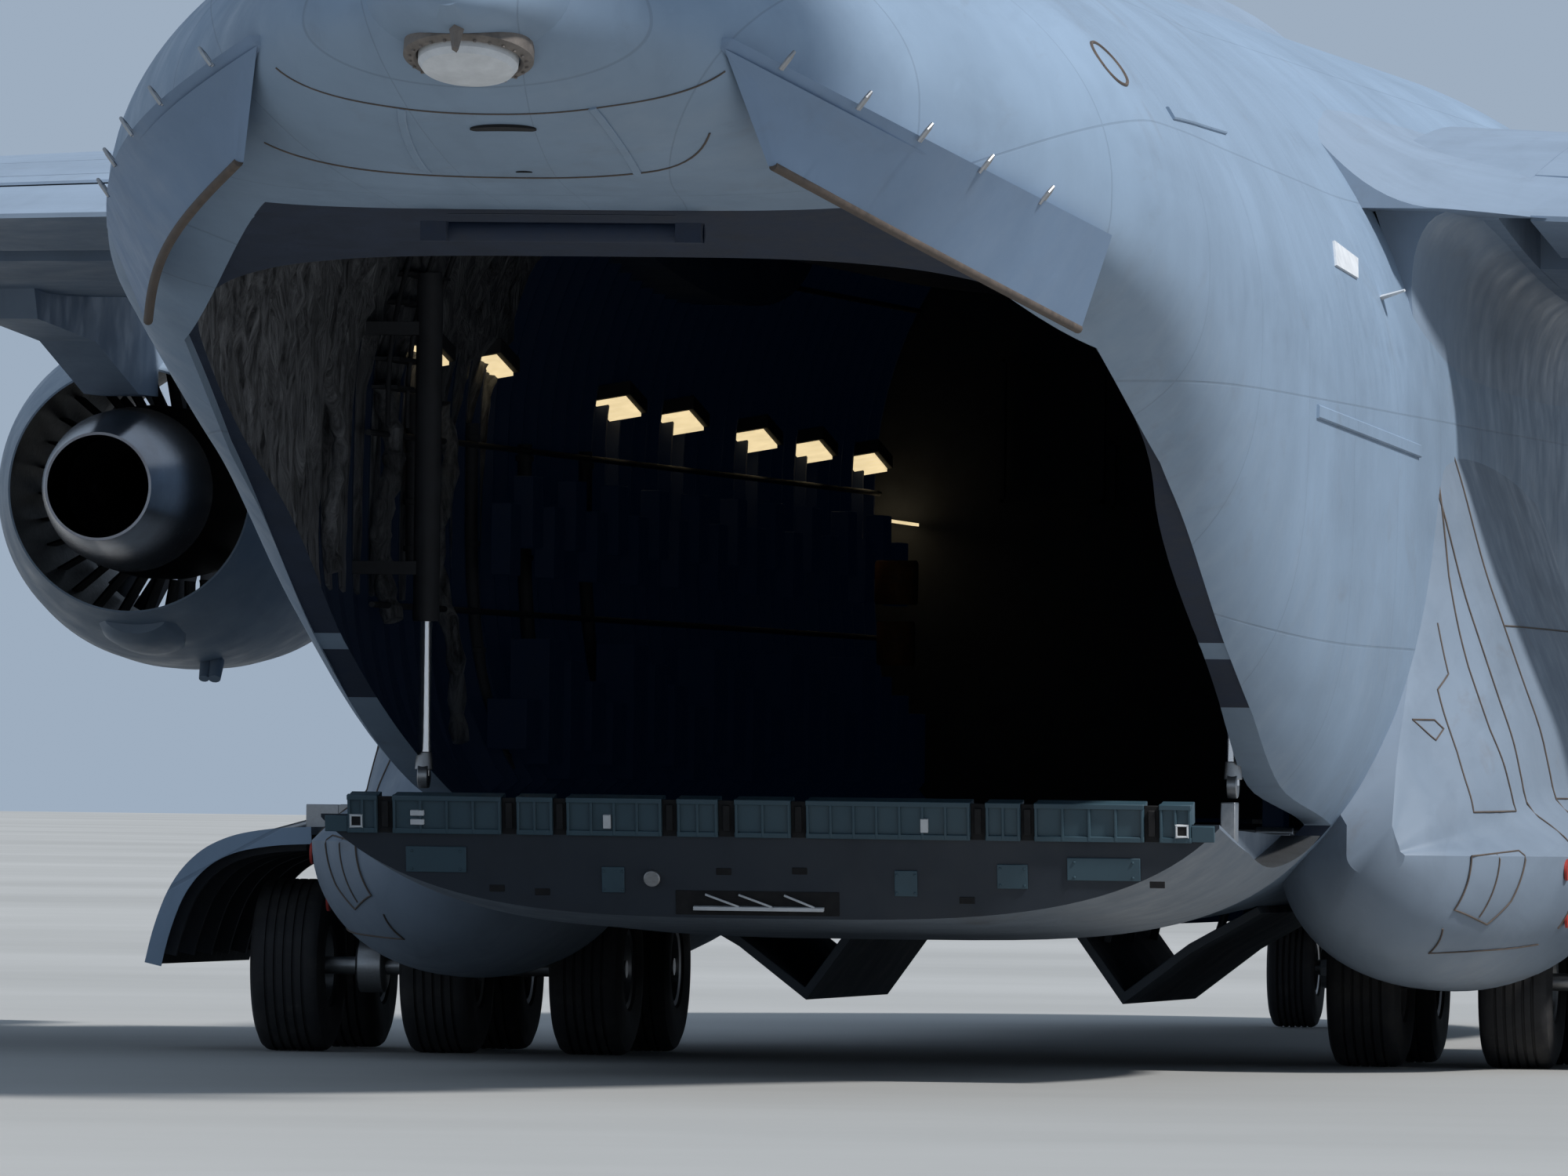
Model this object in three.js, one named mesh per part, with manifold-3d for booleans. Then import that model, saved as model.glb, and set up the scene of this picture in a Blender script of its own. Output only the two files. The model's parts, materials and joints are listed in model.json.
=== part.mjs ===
// A four-engine military transport plane, as a half-size scale model.
// Sizes are the full-size plane's, in millimetres; MODEL_SCALE brings the whole down.
// Places are given as (side, aft, up): side to port, aft from the nose tip, up from the ground.
import * as THREE from 'three';
import { mergeVertices } from 'three/addons/utils/BufferGeometryUtils.js';
import Module from 'manifold-3d';

const wasm = await Module();
wasm.setup();

// Driving sizes
const MODEL_SCALE = 0.5;
const LENGTH = 53040;
const GAP = 0.7;
const MOVING_GAP = 14;
const FINE = 0.15;

// Hinge pins of the control surfaces: radius, depth into each side, play
const PIN = { radius: 8, depth: 70, play: 1.5 };

// Fuselage
const WALL = 120;
const AROUND = 32;
const SKIN = [
  // aft, half width, height of widest, top, bottom, squareness below
  [0, 190, 3050, 3230, 2870, 2.0],
  [170, 680, 3050, 3680, 2400, 2.0],
  [650, 1260, 3080, 4230, 1950, 2.1],
  [1650, 1950, 3150, 4920, 1540, 2.2],
  [3000, 2530, 3350, 5820, 1280, 2.4],
  [4300, 2920, 3650, 6750, 1120, 2.7],
  [6000, 3200, 4000, 7420, 1010, 3.0],
  [8200, 3400, 4230, 7690, 960, 3.4],
  [10500, 3430, 4300, 7730, 950, 3.5],
  [30400, 3430, 4300, 7730, 950, 3.5],
  [33400, 3430, 4500, 7730, 1450, 4.2],
  [36500, 3430, 4750, 7720, 2120, 3.4],
  [39300, 3430, 5000, 7670, 3130, 2.7],
  [42000, 3370, 5350, 7580, 4220, 2.8],
  [45400, 2520, 5950, 7370, 5280, 4.4],
  [46800, 1960, 6120, 7230, 5480, 3.0],
  [48000, 1440, 6330, 7060, 5790, 2.4],
  [48700, 950, 6420, 6930, 6060, 2.0],
  [49050, 420, 6470, 6720, 6260, 2.0],
];
const TAIL_END = 49050;
const NOSE_END = 9400;
const FORWARD_END = 17600;
const CENTRE_END = 30400;
const FLOOR_TOP = 1660;
const FLOOR_DEPTH = 240;
const DECK_TOP = 4560;
const BULKHEAD = 9150;

// Cockpit panes: side from, side to, aft from, aft to, up from, up to
const FRONT_PANES = [
  [45, 900, 1500, 4600, 5330, 6130],
  [980, 1720, 1500, 5000, 5330, 6130],
];
const SIDE_PANES = [
  [1850, 3600, 4800, 5560, 5300, 6080],
  [1850, 3600, 5660, 6420, 5300, 6080],
];
const GLASS = 40;

// Crew door, port side
const CREW_DOOR = { aft: 6900, wide: 1000, low: 1900, high: 3900, play: 34, knuckle: 14 };

// Rear opening: aft, half width of the cut
const RAMP_HINGE = { aft: 30460, up: 1640 };
const RAMP_END = 36500;
const RAMP_CLOSED_DEG = 11;
const RAMP_LOWERED_DEG = 10.2;
const RAMP_SWING_DEG = 31.5;
const RAMP_EAR = { inner: 2440, face: 2700, outer: 2860, radius: 42 };
const RAMP_ROD = { side: 2720, aft: 34000, eye: 1960, radius: 45, top: 4150, barrel: 88, low: 2990, high: 5320 };
const DOOR_START = 36450;
const DOOR_END = 45340;
const DOOR_HINGE = { aft: 45280, up: 5260, reach: 9080 };
const DOOR_RAISED_DEG = 21.5;
const DOOR_ARM = { from: 700, to: 860, radius: 60 };
const OPENING = [
  [30380, 3000],
  [36530, 3000],
  [40000, 2980],
  [42300, 2870],
  [45400, 1820],
];
const SILL = [
  [30400, 1700],
  [32900, 1890],
  [36530, 2820],
  [40000, 4080],
  [42300, 4750],
  [45400, 5450],
];

// Wing: side, leading edge, trailing edge, height of the chord, thickness, nose-up set in degrees
const WING = [
  [0, 15600, 27500, 6180, 0.128, 1.6],
  [3700, 17480, 27800, 6100, 0.126, 1.5],
  [9300, 20440, 28300, 5880, 0.120, 1.2],
  [17600, 24760, 29960, 5560, 0.112, 0.6],
  [25150, 28700, 31560, 5270, 0.105, 0.0],
];
const STUB = 3760;
const FLAP_CHORD = 0.26;
const AILERON_CHORD = 0.24;
const FLAP_SPANS = [['flap_inner', 3985, 9150], ['flap_outer', 9430, 17500]];
const COVE_SPAN = [3700, 17530];
const AILERON_SPAN = [17660, 24300];
const SPOILER_SPANS = [['spoiler_inner', 4300, 9150], ['spoiler_outer', 9450, 16800]];
const SPOILER_CHORD = [0.57, 0.715];
const SPOILER_SKIN = { thick: 55, pocket: 95, play: 34, hinge: 30 };
const FLAP_HINGE_DROP = 1150;
const SHROUD = 0.92;
const FLAP_NOSE = 0.76;
const FAIRINGS = [4700, 8700, 12500, 16700];
const WINGLET = { height: 2450, root: 2500, tip: 1150, sweep: 1350, out: 640 };

// Engines: side, exhaust aft end, height of the shaft
const ENGINES = [
  ['inner', 7600, 19850, 4090],
  ['outer', 13900, 23050, 3790],
];
const NACELLE_TURN = 22;
const FAN = { back: 4620, blades: 12 };

// Tail
const FIN = [
  // up, leading edge, trailing edge, thickness
  [7250, 38200, 47600, 0.105],
  [11600, 42000, 49050, 0.105],
  [15950, 45800, 50500, 0.105],
];
const RUDDER_CHORD = 0.3;
const RUDDERS = [['rudder_lower', 7950, 11640], ['rudder_upper', 11760, 15350]];
const RUDDER_PLAY = 80;
const RUDDER_PIN = { radius: 8, depth: 180, play: 1.5 };
const TAILPLANE = [
  // side, leading edge, trailing edge, height, thickness
  [0, 45600, 51700, 16180, 0.10],
  [9905, 50750, 53040, 15660, 0.09],
];
const ELEVATOR_CHORD = 0.28;
const ELEVATOR_SPAN = [950, 9300];

// Landing gear
const MAIN_ROWS = [['front', 24120], ['rear', 26320]];
const MAIN_WHEELS = [2760, 3830, 4900];
const MAIN_TYRE = { radius: 610, width: 520, rim: 270 };
const MAIN_LEG_SIDE = 4365;
const NOSE_AXLE = 5200;
const NOSE_WHEELS = [-330, 330];
const NOSE_TYRE = { radius: 490, width: 390, rim: 210 };
const AXLE = 85;
const TYRE_TURN = 16;
const AXLE_PLAY = 2;
const SPONSON = [
  // aft, inner side, outer side, bottom, top
  [18300, 2900, 3300, 1500, 2300],
  [20000, 2300, 4250, 760, 3050],
  [22200, 2250, 4700, 540, 3450],
  [27500, 2250, 4680, 560, 3480],
  [28600, 2250, 4480, 620, 2900],
  [29600, 2100, 4060, 800, 2150],
  [30340, 2300, 3560, 1060, 1760],
];
const BAY = { from: 23150, to: 27300, inner: 2380, outer: 5210, top: 1750 };
const GEAR_DOOR = { from: 23280, to: 27180, thick: 55 };
// The open gear door's outer face, seen from behind: side, up
const GEAR_LEAF = [
  [4740, 1600], [5080, 1570], [5350, 1530], [5570, 1450], [5740, 1330], [5880, 1140], [5985, 840], [6060, 620],
];

const NOZZLE_AT = 6;

const COLOURS = {
  paint: [0x8fa3b3, 0.55, 0.05],
  shade: [0x77899a, 0.6, 0.05],
  dark: [0x2c3b47, 0.6, 0.1],
  steel: [0xb8bcc0, 0.3, 0.9],
  metal: [0x8b8f92, 0.35, 0.85],
  rubber: [0x1b1b1c, 0.85, 0.0],
  glass: [0x26323b, 0.08, 0.2],
  deck: [0x353c42, 0.7, 0.1],
};

const plane = new THREE.Group();
plane.scale.setScalar(MODEL_SCALE);

const rad = (degrees) => THREE.MathUtils.degToRad(degrees);
const place = (side, aft, up) => new THREE.Vector3(side, aft - LENGTH / 2, up);

// Solids
function solid(geometry) {
  const bare = geometry.clone();
  bare.deleteAttribute('normal');
  bare.deleteAttribute('uv');
  const welded = mergeVertices(bare, 1e-3);
  return new wasm.Manifold(new wasm.Mesh({
    numProp: 3,
    vertProperties: Float32Array.from(welded.attributes.position.array),
    triVerts: Uint32Array.from(welded.index.array),
  }));
}

function add(name, body, finish) {
  const mesh = body.asOriginal().simplify(FINE).getMesh();
  const geometry = new THREE.BufferGeometry();
  geometry.setAttribute('position', new THREE.BufferAttribute(mesh.vertProperties, mesh.numProp));
  geometry.setIndex(new THREE.BufferAttribute(mesh.triVerts, 1));
  const [color, roughness, metalness] = COLOURS[finish];
  const material = new THREE.MeshStandardMaterial({ color, roughness, metalness });
  const node = new THREE.Mesh(geometry, material);
  node.name = name;
  plane.add(node);
}

// A box between two corners given as side, aft and up
function box(side0, side1, aft0, aft1, up0, up1) {
  const shape = new THREE.BoxGeometry(side1 - side0, aft1 - aft0, up1 - up0);
  const middle = place((side0 + side1) / 2, (aft0 + aft1) / 2, (up0 + up1) / 2);
  return solid(shape.translate(middle.x, middle.y, middle.z));
}

// A solid through rings of points, each ring with the same number of points
function loft(rings) {
  const count = rings[0].length;
  const points = [];
  const faces = [];
  rings.forEach((ring) => ring.forEach((p) => points.push(p.x, p.y, p.z)));
  for (let r = 0; r < rings.length - 1; r += 1) {
    for (let i = 0; i < count; i += 1) {
      const a = r * count + i;
      const b = r * count + ((i + 1) % count);
      faces.push(a, b, b + count, a, b + count, a + count);
    }
  }
  [0, rings.length - 1].forEach((r) => {
    const centre = rings[r].reduce((sum, p) => sum.add(p), new THREE.Vector3()).divideScalar(count);
    const hub = points.length / 3;
    points.push(centre.x, centre.y, centre.z);
    for (let i = 0; i < count; i += 1) {
      const a = r * count + i;
      const b = r * count + ((i + 1) % count);
      if (r === 0) faces.push(hub, b, a);
      else faces.push(hub, a, b);
    }
  });
  const geometry = new THREE.BufferGeometry();
  geometry.setAttribute('position', new THREE.Float32BufferAttribute(points, 3));
  geometry.setIndex(faces);
  const body = solid(geometry);
  return body.volume() < 0 ? solid(flipped(geometry)) : body;
}

function flipped(geometry) {
  const index = geometry.index.array;
  for (let i = 0; i < index.length; i += 3) {
    const first = index[i];
    index[i] = index[i + 1];
    index[i + 1] = first;
  }
  return geometry;
}

// A flat outline pushed along an axis; points are [aft, up] for 'side', [side, aft] for 'up'
function prism(points, along, from, to) {
  const moved = points.map(([u, v]) => (along === 'side'
    ? new THREE.Vector2(u - LENGTH / 2, v)
    : new THREE.Vector2(u, v - LENGTH / 2)));
  const shape = new THREE.Shape(moved);
  const geometry = new THREE.ExtrudeGeometry(shape, { depth: to - from, bevelEnabled: false });
  geometry.translate(0, 0, from);
  if (along === 'side') {
    const X = new THREE.Vector3(1, 0, 0);
    const Y = new THREE.Vector3(0, 1, 0);
    const Z = new THREE.Vector3(0, 0, 1);
    geometry.applyMatrix4(new THREE.Matrix4().makeBasis(Y, Z, X));
  }
  return solid(geometry);
}

// A turned solid about the fore-and-aft line through (side, up); profile is [radius, aft]
function turned(profile, side, up, turns) {
  const points = profile.map(([r, aft]) => new THREE.Vector2(r, aft - LENGTH / 2));
  const geometry = new THREE.LatheGeometry(points, turns);
  geometry.translate(side, 0, up);
  const body = solid(geometry);
  return body.volume() < 0 ? solid(flipped(mergeBare(geometry))) : body;
}

function mergeBare(geometry) {
  const bare = geometry.clone();
  bare.deleteAttribute('normal');
  bare.deleteAttribute('uv');
  return mergeVertices(bare, 1e-3);
}

// A turned solid about a crosswise line through (aft, up); profile is [radius, side]
function axled(profile, aft, up, turns) {
  const points = profile.map(([r, side]) => new THREE.Vector2(r, side));
  const geometry = new THREE.LatheGeometry(points, turns);
  geometry.rotateZ(-Math.PI / 2);
  const at = place(0, aft, up);
  geometry.translate(0, at.y, at.z);
  const body = solid(geometry);
  return body.volume() < 0 ? solid(flipped(mergeBare(geometry))) : body;
}

// A round bar between two places
function bar(from, to, radius, sides = 12) {
  const length = from.distanceTo(to);
  const geometry = new THREE.CylinderGeometry(radius, radius, length, sides);
  const way = to.clone().sub(from).normalize();
  const turn = new THREE.Quaternion().setFromUnitVectors(new THREE.Vector3(0, 1, 0), way);
  geometry.applyQuaternion(turn);
  const middle = from.clone().add(to).multiplyScalar(0.5);
  return solid(geometry.translate(middle.x, middle.y, middle.z));
}

// Pins on a hinge line at the ends of a moving piece; grown, they are the holes they turn in
function pins(ends, { radius, depth, play }, grown = false) {
  const grow = grown ? play : 0;
  return join(ends.map(([at, toward]) => {
    const way = toward.clone().sub(at).normalize();
    const reach = depth + grow * 2;
    return bar(at.clone().addScaledVector(way, -reach), at.clone().addScaledVector(way, reach), radius + grow, 6);
  }));
}

// Both ends of a hinge line, each with the way into the moving piece
const bothEnds = (a, b) => [[a, b], [b, a]];

const join = (bodies) => bodies.reduce((whole, body) => whole.add(body));
const mirrored = (body) => body.mirror([1, 0, 0]);

// Turn a body about a crosswise line through (aft, up)
function swung(body, aft, up, degrees) {
  const at = place(0, aft, up);
  return body.translate([0, -at.y, -at.z]).rotate([degrees, 0, 0]).translate([0, at.y, at.z]);
}

// Height or width read off a table at one station
function read(table, at, column) {
  let row = 0;
  while (row < table.length - 2 && at > table[row + 1][0]) row += 1;
  const [before, after] = [table[row], table[row + 1]];
  const part = (at - before[0]) / (after[0] - before[0]);
  return before[column] + (after[column] - before[column]) * part;
}

// One ring of the fuselage skin, brought in by inset
function skinRing(row, inset) {
  const [aft, half, widest, top, bottom, square] = row;
  const ring = [];
  for (let i = 0; i < AROUND; i += 1) {
    const angle = (i / AROUND) * 2 * Math.PI;
    const c = Math.cos(angle);
    const s = Math.sin(angle);
    const power = s < 0 ? 2 / square : 1;
    const side = (half - inset) * Math.sign(c) * Math.abs(c) ** power;
    const rise = s < 0 ? widest - bottom - inset : top - widest - inset;
    ring.push(place(side, aft, widest + rise * Math.sign(s) * Math.abs(s) ** power));
  }
  return ring;
}

function rowAt(aft) {
  return [aft, ...[1, 2, 3, 4, 5].map((column) => read(SKIN, aft, column))];
}

// The fuselage as a solid between two stations
function hull(from, to, inset) {
  const inner = SKIN.filter(([aft, half]) => aft > from + 20 && aft < to - 20 && half > inset + 80);
  const rows = [rowAt(from), ...inner, rowAt(to)];
  return loft(rows.map((row) => skinRing(row, inset)));
}

function shell(from, to) {
  return hull(from, to, 0).subtract(hull(Math.max(from - 50, 700), Math.min(to + 50, 47900), WALL));
}

// Wings and tail surfaces
// A ring of a wing section: round nose, fullest a third of the way, thin tail
function foilRing(toPoint, thickness, steps = 9) {
  const upper = [];
  const lower = [];
  for (let i = 0; i <= steps; i += 1) {
    const x = (1 - Math.cos((i / steps) * Math.PI)) / 2;
    const half = 5 * thickness * (0.2969 * Math.sqrt(x) - 0.126 * x - 0.3516 * x * x
      + 0.2843 * x ** 3 - 0.1026 * x ** 4);
    upper.push(toPoint(x, Math.max(half, 0.0018)));
    if (i > 0) lower.push(toPoint(x, -Math.max(half, 0.0018)));
  }
  return [...upper, ...lower.reverse()];
}

function rowOf(table, at) {
  return [at, ...table[0].slice(1).map((_, column) => read(table, at, column + 1))];
}

function wingPoint(row, x, y) {
  const [side, lead, trail, up, , set] = row;
  const chord = trail - lead;
  const tip = rad(set);
  return place(
    side,
    lead + chord * (x * Math.cos(tip) + y * Math.sin(tip)),
    up + chord * ((0.4 - x) * Math.sin(tip) + y * Math.cos(tip)),
  );
}

function wingRing(side, share) {
  const row = rowOf(WING, side);
  return foilRing((x, y) => wingPoint(row, x, y), row[4] * share);
}

function wingBody(from, to, share = 1) {
  const sides = [from, ...WING.map(([side]) => side).filter((side) => side > from && side < to), to];
  return loft(sides.map((side) => wingRing(side, share)));
}

// Half thickness of the section at a share of the chord
function halfDepth(x, thickness) {
  return 5 * thickness * (0.2969 * Math.sqrt(x) - 0.126 * x - 0.3516 * x * x + 0.2843 * x ** 3 - 0.1026 * x ** 4);
}

// A hinged tail piece of a section: a round nose on the hinge line, then a wedge to the edge
function wedgeRing(toPoint, thickness, share, grow = 0) {
  const hinge = 1 - share;
  const r = halfDepth(hinge, thickness) * 0.96 + grow;
  const ring = [];
  for (let i = 0; i <= 6; i += 1) {
    const angle = Math.PI / 2 + (i / 6) * Math.PI;
    ring.push(toPoint(hinge + r * Math.cos(angle), r * Math.sin(angle)));
  }
  ring.push(toPoint(1 + grow, -0.002 - grow));
  ring.push(toPoint(1 + grow, 0.002 + grow));
  return ring;
}

function fuselage() {
  const front = shell(0, NOSE_END - GAP);
  const cuts = [];
  FRONT_PANES.concat(SIDE_PANES).forEach(([s0, s1, a0, a1, u0, u1]) => {
    cuts.push(box(s0, s1, a0, a1, u0, u1), box(-s1, -s0, a0, a1, u0, u1));
  });
  cuts.push(crewDoorBlock(MOVING_GAP + 4, CREW_DOOR.play), crewDoorKnuckle(1, CREW_DOOR.play));
  cuts.push(box(-640, 640, 4250, 6450, 500, 1700));
  const leaves = [1, -1].map((port) => prism(
    [[4450, 1300], [6350, 1300], [6200, 800], [4600, 800]],
    'side', port > 0 ? 720 : -750, port > 0 ? 750 : -720,
  ));
  add('fuselage_nose', join([front.subtract(join(cuts)), ...leaves]), 'paint');
  add('fuselage_forward', shell(NOSE_END, FORWARD_END - GAP), 'paint');

  const centre = shell(FORWARD_END, CENTRE_END - GAP)
    .subtract(box(-3900, 3900, FORWARD_END - 100, 28900, 5560, 9000))
    .subtract(box(-1950, -380, BAY.from, BAY.to, 500, 1400))
    .subtract(box(380, 1950, BAY.from, BAY.to, 500, 1400));
  const hatch = [1, -1].map((port) => {
    const panel = prism(
      [[BAY.from + 40, 1060], [BAY.to - 40, 1060], [BAY.to - 300, 380], [BAY.from + 300, 380]],
      'side', port > 0 ? 1350 : -1410, port > 0 ? 1410 : -1350,
    );
    const arm = box(port > 0 ? 1340 : -2060, port > 0 ? 2060 : -1340, 25100, 25300, 950, 1150);
    return panel.add(arm);
  });
  add('fuselage_centre', join([centre, ...hatch]), 'paint');
  add('fuselage_aft', aftBody(), 'paint');
}

// The door's block through the port wall, grown by a margin each way
function crewDoorBlock(grow, foreAndAft) {
  const { aft, wide, low, high } = CREW_DOOR;
  const reach = wide / 2 + foreAndAft;
  return box(2000, 3600, aft - reach, aft + reach, low - grow, high + grow);
}

// The rolled edge along the door's foot that it hinges on
function crewDoorKnuckle(grow, foreAndAft) {
  const { aft, wide, low, knuckle } = CREW_DOOR;
  const [front, back] = [-1, 1].map((end) => {
    const at = aft + end * (wide / 2 + foreAndAft);
    return place(skinSide(at, low - 10) - 10, at, low - 10);
  });
  return bar(front, back, knuckle + grow, 12);
}

// Half width of the skin at a station and height, off its own facets
function skinSide(aft, up) {
  const ring = skinRing(rowAt(aft), 0);
  const next = (i) => ring[(i + 1) % ring.length];
  const i = ring.findIndex((p, k) => p.x > 0 && (p.z - up) * (next(k).z - up) <= 0);
  return ring[i].x + ((next(i).x - ring[i].x) * (up - ring[i].z)) / (next(i).z - ring[i].z);
}

function crewDoor() {
  const skin = hull(3000, NOSE_END, 8).subtract(hull(2900, NOSE_END + 20, WALL + 8));
  add('crew_door', skin.intersect(crewDoorBlock(0, 0)).add(crewDoorKnuckle(0, -20)), 'paint');
}

function openingOutline(grow) {
  const port = OPENING.map(([aft, half]) => [half + grow, aft]);
  const starboard = OPENING.map(([aft, half]) => [-half - grow, aft]).reverse();
  return [...port, ...starboard];
}

function aftBody() {
  const tail = shell(CENTRE_END, TAIL_END).subtract(
    prism(openingOutline(0), 'up', 0, 6200).intersect(belowSill(0)),
  );
  const strakes = [strake(1), strake(-1)];
  const barrels = [1, -1].map(rampBarrel);
  const lid = hull(45400, TAIL_END, 6);
  return join([tail, lid, ...strakes, ...barrels, ...[1, -1].flatMap(rearHinges)]);
}

// The fixed halves of the ramp's and the cargo door's hinges
function rearHinges(port) {
  const ear = RAMP_EAR;
  const { aft, up } = RAMP_HINGE;
  const bracket = box(
    ...[port * (ear.face + GAP + 2), port * ear.outer].sort((a, b) => a - b),
    aft - ear.radius, aft + ear.radius, up - ear.radius, up + 320,
  );
  const boss = bar(place(port * (ear.face + GAP), aft, up), place(port * ear.outer, aft, up), ear.radius, 12);
  const arm = DOOR_ARM;
  const root = box(
    ...[port * (arm.from + GAP + 2), port * arm.to].sort((a, b) => a - b),
    DOOR_HINGE.aft, 45420, DOOR_HINGE.up - arm.radius, DOOR_HINGE.up + arm.radius,
  );
  const at = (side) => place(port * side, DOOR_HINGE.aft, DOOR_HINGE.up);
  const knuckle = bar(at(arm.from + GAP), at(arm.to), arm.radius, 12);
  return [bracket.add(boss).intersect(hull(30000, 31000, 20)), root.add(knuckle)];
}

// The fixed tube that a ramp rod slides in, on brackets off the side wall
function rampBarrel(port) {
  const { side, aft, radius, barrel, low, high } = RAMP_ROD;
  const at = (up) => place(port * side, aft, up);
  const tube = bar(at(low), at(high), barrel, 12).subtract(bar(at(low - 50), at(high - 60), radius + GAP + 0.1, 12));
  const brackets = [3300, 4900].map((up) => box(
    Math.min(port * (side + 60), port * 3380), Math.max(port * (side + 60), port * 3380), aft - 70, aft + 70, up, up + 90,
  ));
  return join([tube, ...brackets]);
}

// Everything under the sill line that runs up the sides of the opening
function belowSill(raise) {
  const top = SILL.map(([aft, up]) => [aft, up + raise]);
  const outline = [[30300, 0], [45420, 0], [45420, top[top.length - 1][1]], ...top.slice(1, -1).reverse(), [30300, top[0][1] - 30]];
  return prism(outline, 'side', -4000, 4000);
}

// A ventral plate: four corners given a small thickness
function strake(port) {
  const corners = [[2860, 42700, 5350], [1330, 48050, 6250], [1560, 48000, 5200], [2840, 43300, 4600]];
  const edge = (shift) => corners.map(([side, aft, up]) => place(port * (side + shift), aft, up));
  return loft([edge(-30), edge(30)]);
}

function rearDoors() {
  const room = belowSill(-20).add(box(-2680, 2680, 30300, 36600, 0, 5000));
  const plug = hull(CENTRE_END, 46000, 10).intersect(room);
  const rampSpan = box(-2960, 2960, RAMP_HINGE.aft + 20, RAMP_END, 0, 9000);
  const closedTop = prism(
    [[30000, 5000], [30000, FLOOR_TOP - 130], [37000, FLOOR_TOP - 130 + 7000 * Math.tan(rad(RAMP_CLOSED_DEG))],
      [37000, 5000]],
    'side', -4000, 4000,
  );
  const lean = 1700 * Math.tan(rad(RAMP_SWING_DEG));
  const frontCut = prism([
    [29000, RAMP_HINGE.up], [RAMP_HINGE.aft + 10, RAMP_HINGE.up], [RAMP_HINGE.aft + 10 + lean, RAMP_HINGE.up - 1700],
    [29000, RAMP_HINGE.up - 1700],
  ], 'side', -4000, 4000);
  const rampShut = plug.intersect(rampSpan).subtract(closedTop).subtract(frontCut);
  const ramp = swung(rampShut, RAMP_HINGE.aft, RAMP_HINGE.up, -RAMP_LOWERED_DEG);
  const lugs = [1, -1].map((port) => box(
    ...[port * (RAMP_ROD.side - 70), port * (RAMP_ROD.side + 30)].sort((a, b) => a - b),
    RAMP_ROD.aft - 90, RAMP_ROD.aft + 90, 1580, RAMP_ROD.eye - 110,
  ));
  const ears = [1, -1].map((port) => {
    const { inner, face, radius } = RAMP_EAR;
    const at = (side) => place(port * side, RAMP_HINGE.aft, RAMP_HINGE.up);
    const web = box(
      ...[port * inner, port * (face - 2)].sort((a, b) => a - b),
      RAMP_HINGE.aft - 8, RAMP_HINGE.aft + 190, RAMP_HINGE.up - 170, RAMP_HINGE.up,
    );
    return bar(at(inner), at(face), radius, 12).add(web);
  });
  const corners = [1, -1].map((port) => box(
    ...[port * (RAMP_EAR.face - 10), port * 3000].sort((a, b) => a - b),
    RAMP_HINGE.aft - 60, RAMP_HINGE.aft + 90, RAMP_HINGE.up - 90, RAMP_HINGE.up + 120,
  ));
  add('ramp', join([ramp.subtract(join(corners)), ...lugs, ...ears]), 'dark');

  const port = [[2790, DOOR_START], [2790, 40500], [1660, DOOR_END]];
  const outline = [...port, ...port.map(([side, aft]) => [-side, aft]).reverse()];
  const skin = hull(CENTRE_END, 46000, 10).subtract(hull(CENTRE_END - 50, 46050, 230));
  const { aft, up, reach } = DOOR_HINGE;
  const sweep = bar(place(-3500, aft, up), place(3500, aft, up), reach, 240);
  const doorShut = skin.intersect(prism(outline, 'up', 0, 9000)).intersect(belowSill(-40)).intersect(sweep);
  const arm = DOOR_ARM;
  const knuckle = bar(place(-arm.from, aft, up), place(arm.from, aft, up), arm.radius, 12);
  const notches = [1, -1].map((port) => box(
    ...[port * arm.from, port * (arm.to + 14)].sort((a, b) => a - b), aft - 150, aft + 200, up - 120, up + 300,
  ));
  const hung = doorShut.add(knuckle).subtract(join(notches));
  add('cargo_door', swung(hung, aft, up, -DOOR_RAISED_DEG), 'paint');
}

function interior() {
  const inside = hull(2300, NOSE_END + 20, WALL + 1.2);
  const deck = inside.intersect(box(-4000, 4000, 3300, BULKHEAD, DECK_TOP - 110, DECK_TOP));
  const wall = hull(8500, 9900, WALL + 1.2)
    .intersect(box(-4000, 4000, BULKHEAD - 20, BULKHEAD + 120, FLOOR_TOP + 40, 9000));
  const panel = prism([[3050, 5150], [3500, 5150], [3750, DECK_TOP - 50], [3350, DECK_TOP - 50]], 'side', -1350, 1350);
  const seats = [-1, 1].map((port) => seat(port * 780, 4600)).concat([seat(0, 6300)]);
  add('flight_deck', join([deck, wall, panel, ...seats]), 'deck');
  const room = hull(9000, CENTRE_END + 10, WALL + 1.2);
  const floor = room.intersect(box(-4000, 4000, BULKHEAD + 160, CENTRE_END - 60, FLOOR_TOP - FLOOR_DEPTH, FLOOR_TOP));
  add('cargo_floor', floor, 'metal');
}

function seat(side, aft) {
  const pan = box(side - 260, side + 260, aft - 250, aft + 270, DECK_TOP + 330, DECK_TOP + 470);
  const back = prism(
    [[aft + 180, DECK_TOP + 400], [aft + 320, DECK_TOP + 400], [aft + 470, DECK_TOP + 1150], [aft + 350, DECK_TOP + 1150]],
    'side', side - 240, side + 240,
  );
  return join([pan, back, box(side - 120, side + 120, aft - 120, aft + 160, DECK_TOP - 40, DECK_TOP + 360)]);
}

function windscreen() {
  const layer = hull(1650, 8200, WALL + 1.2).subtract(hull(1600, 8300, WALL + 1.2 + GLASS));
  add('windscreen', layer.intersect(box(-4000, 4000, 2000, 6560, 5200, 6230)), 'glass');
}

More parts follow.
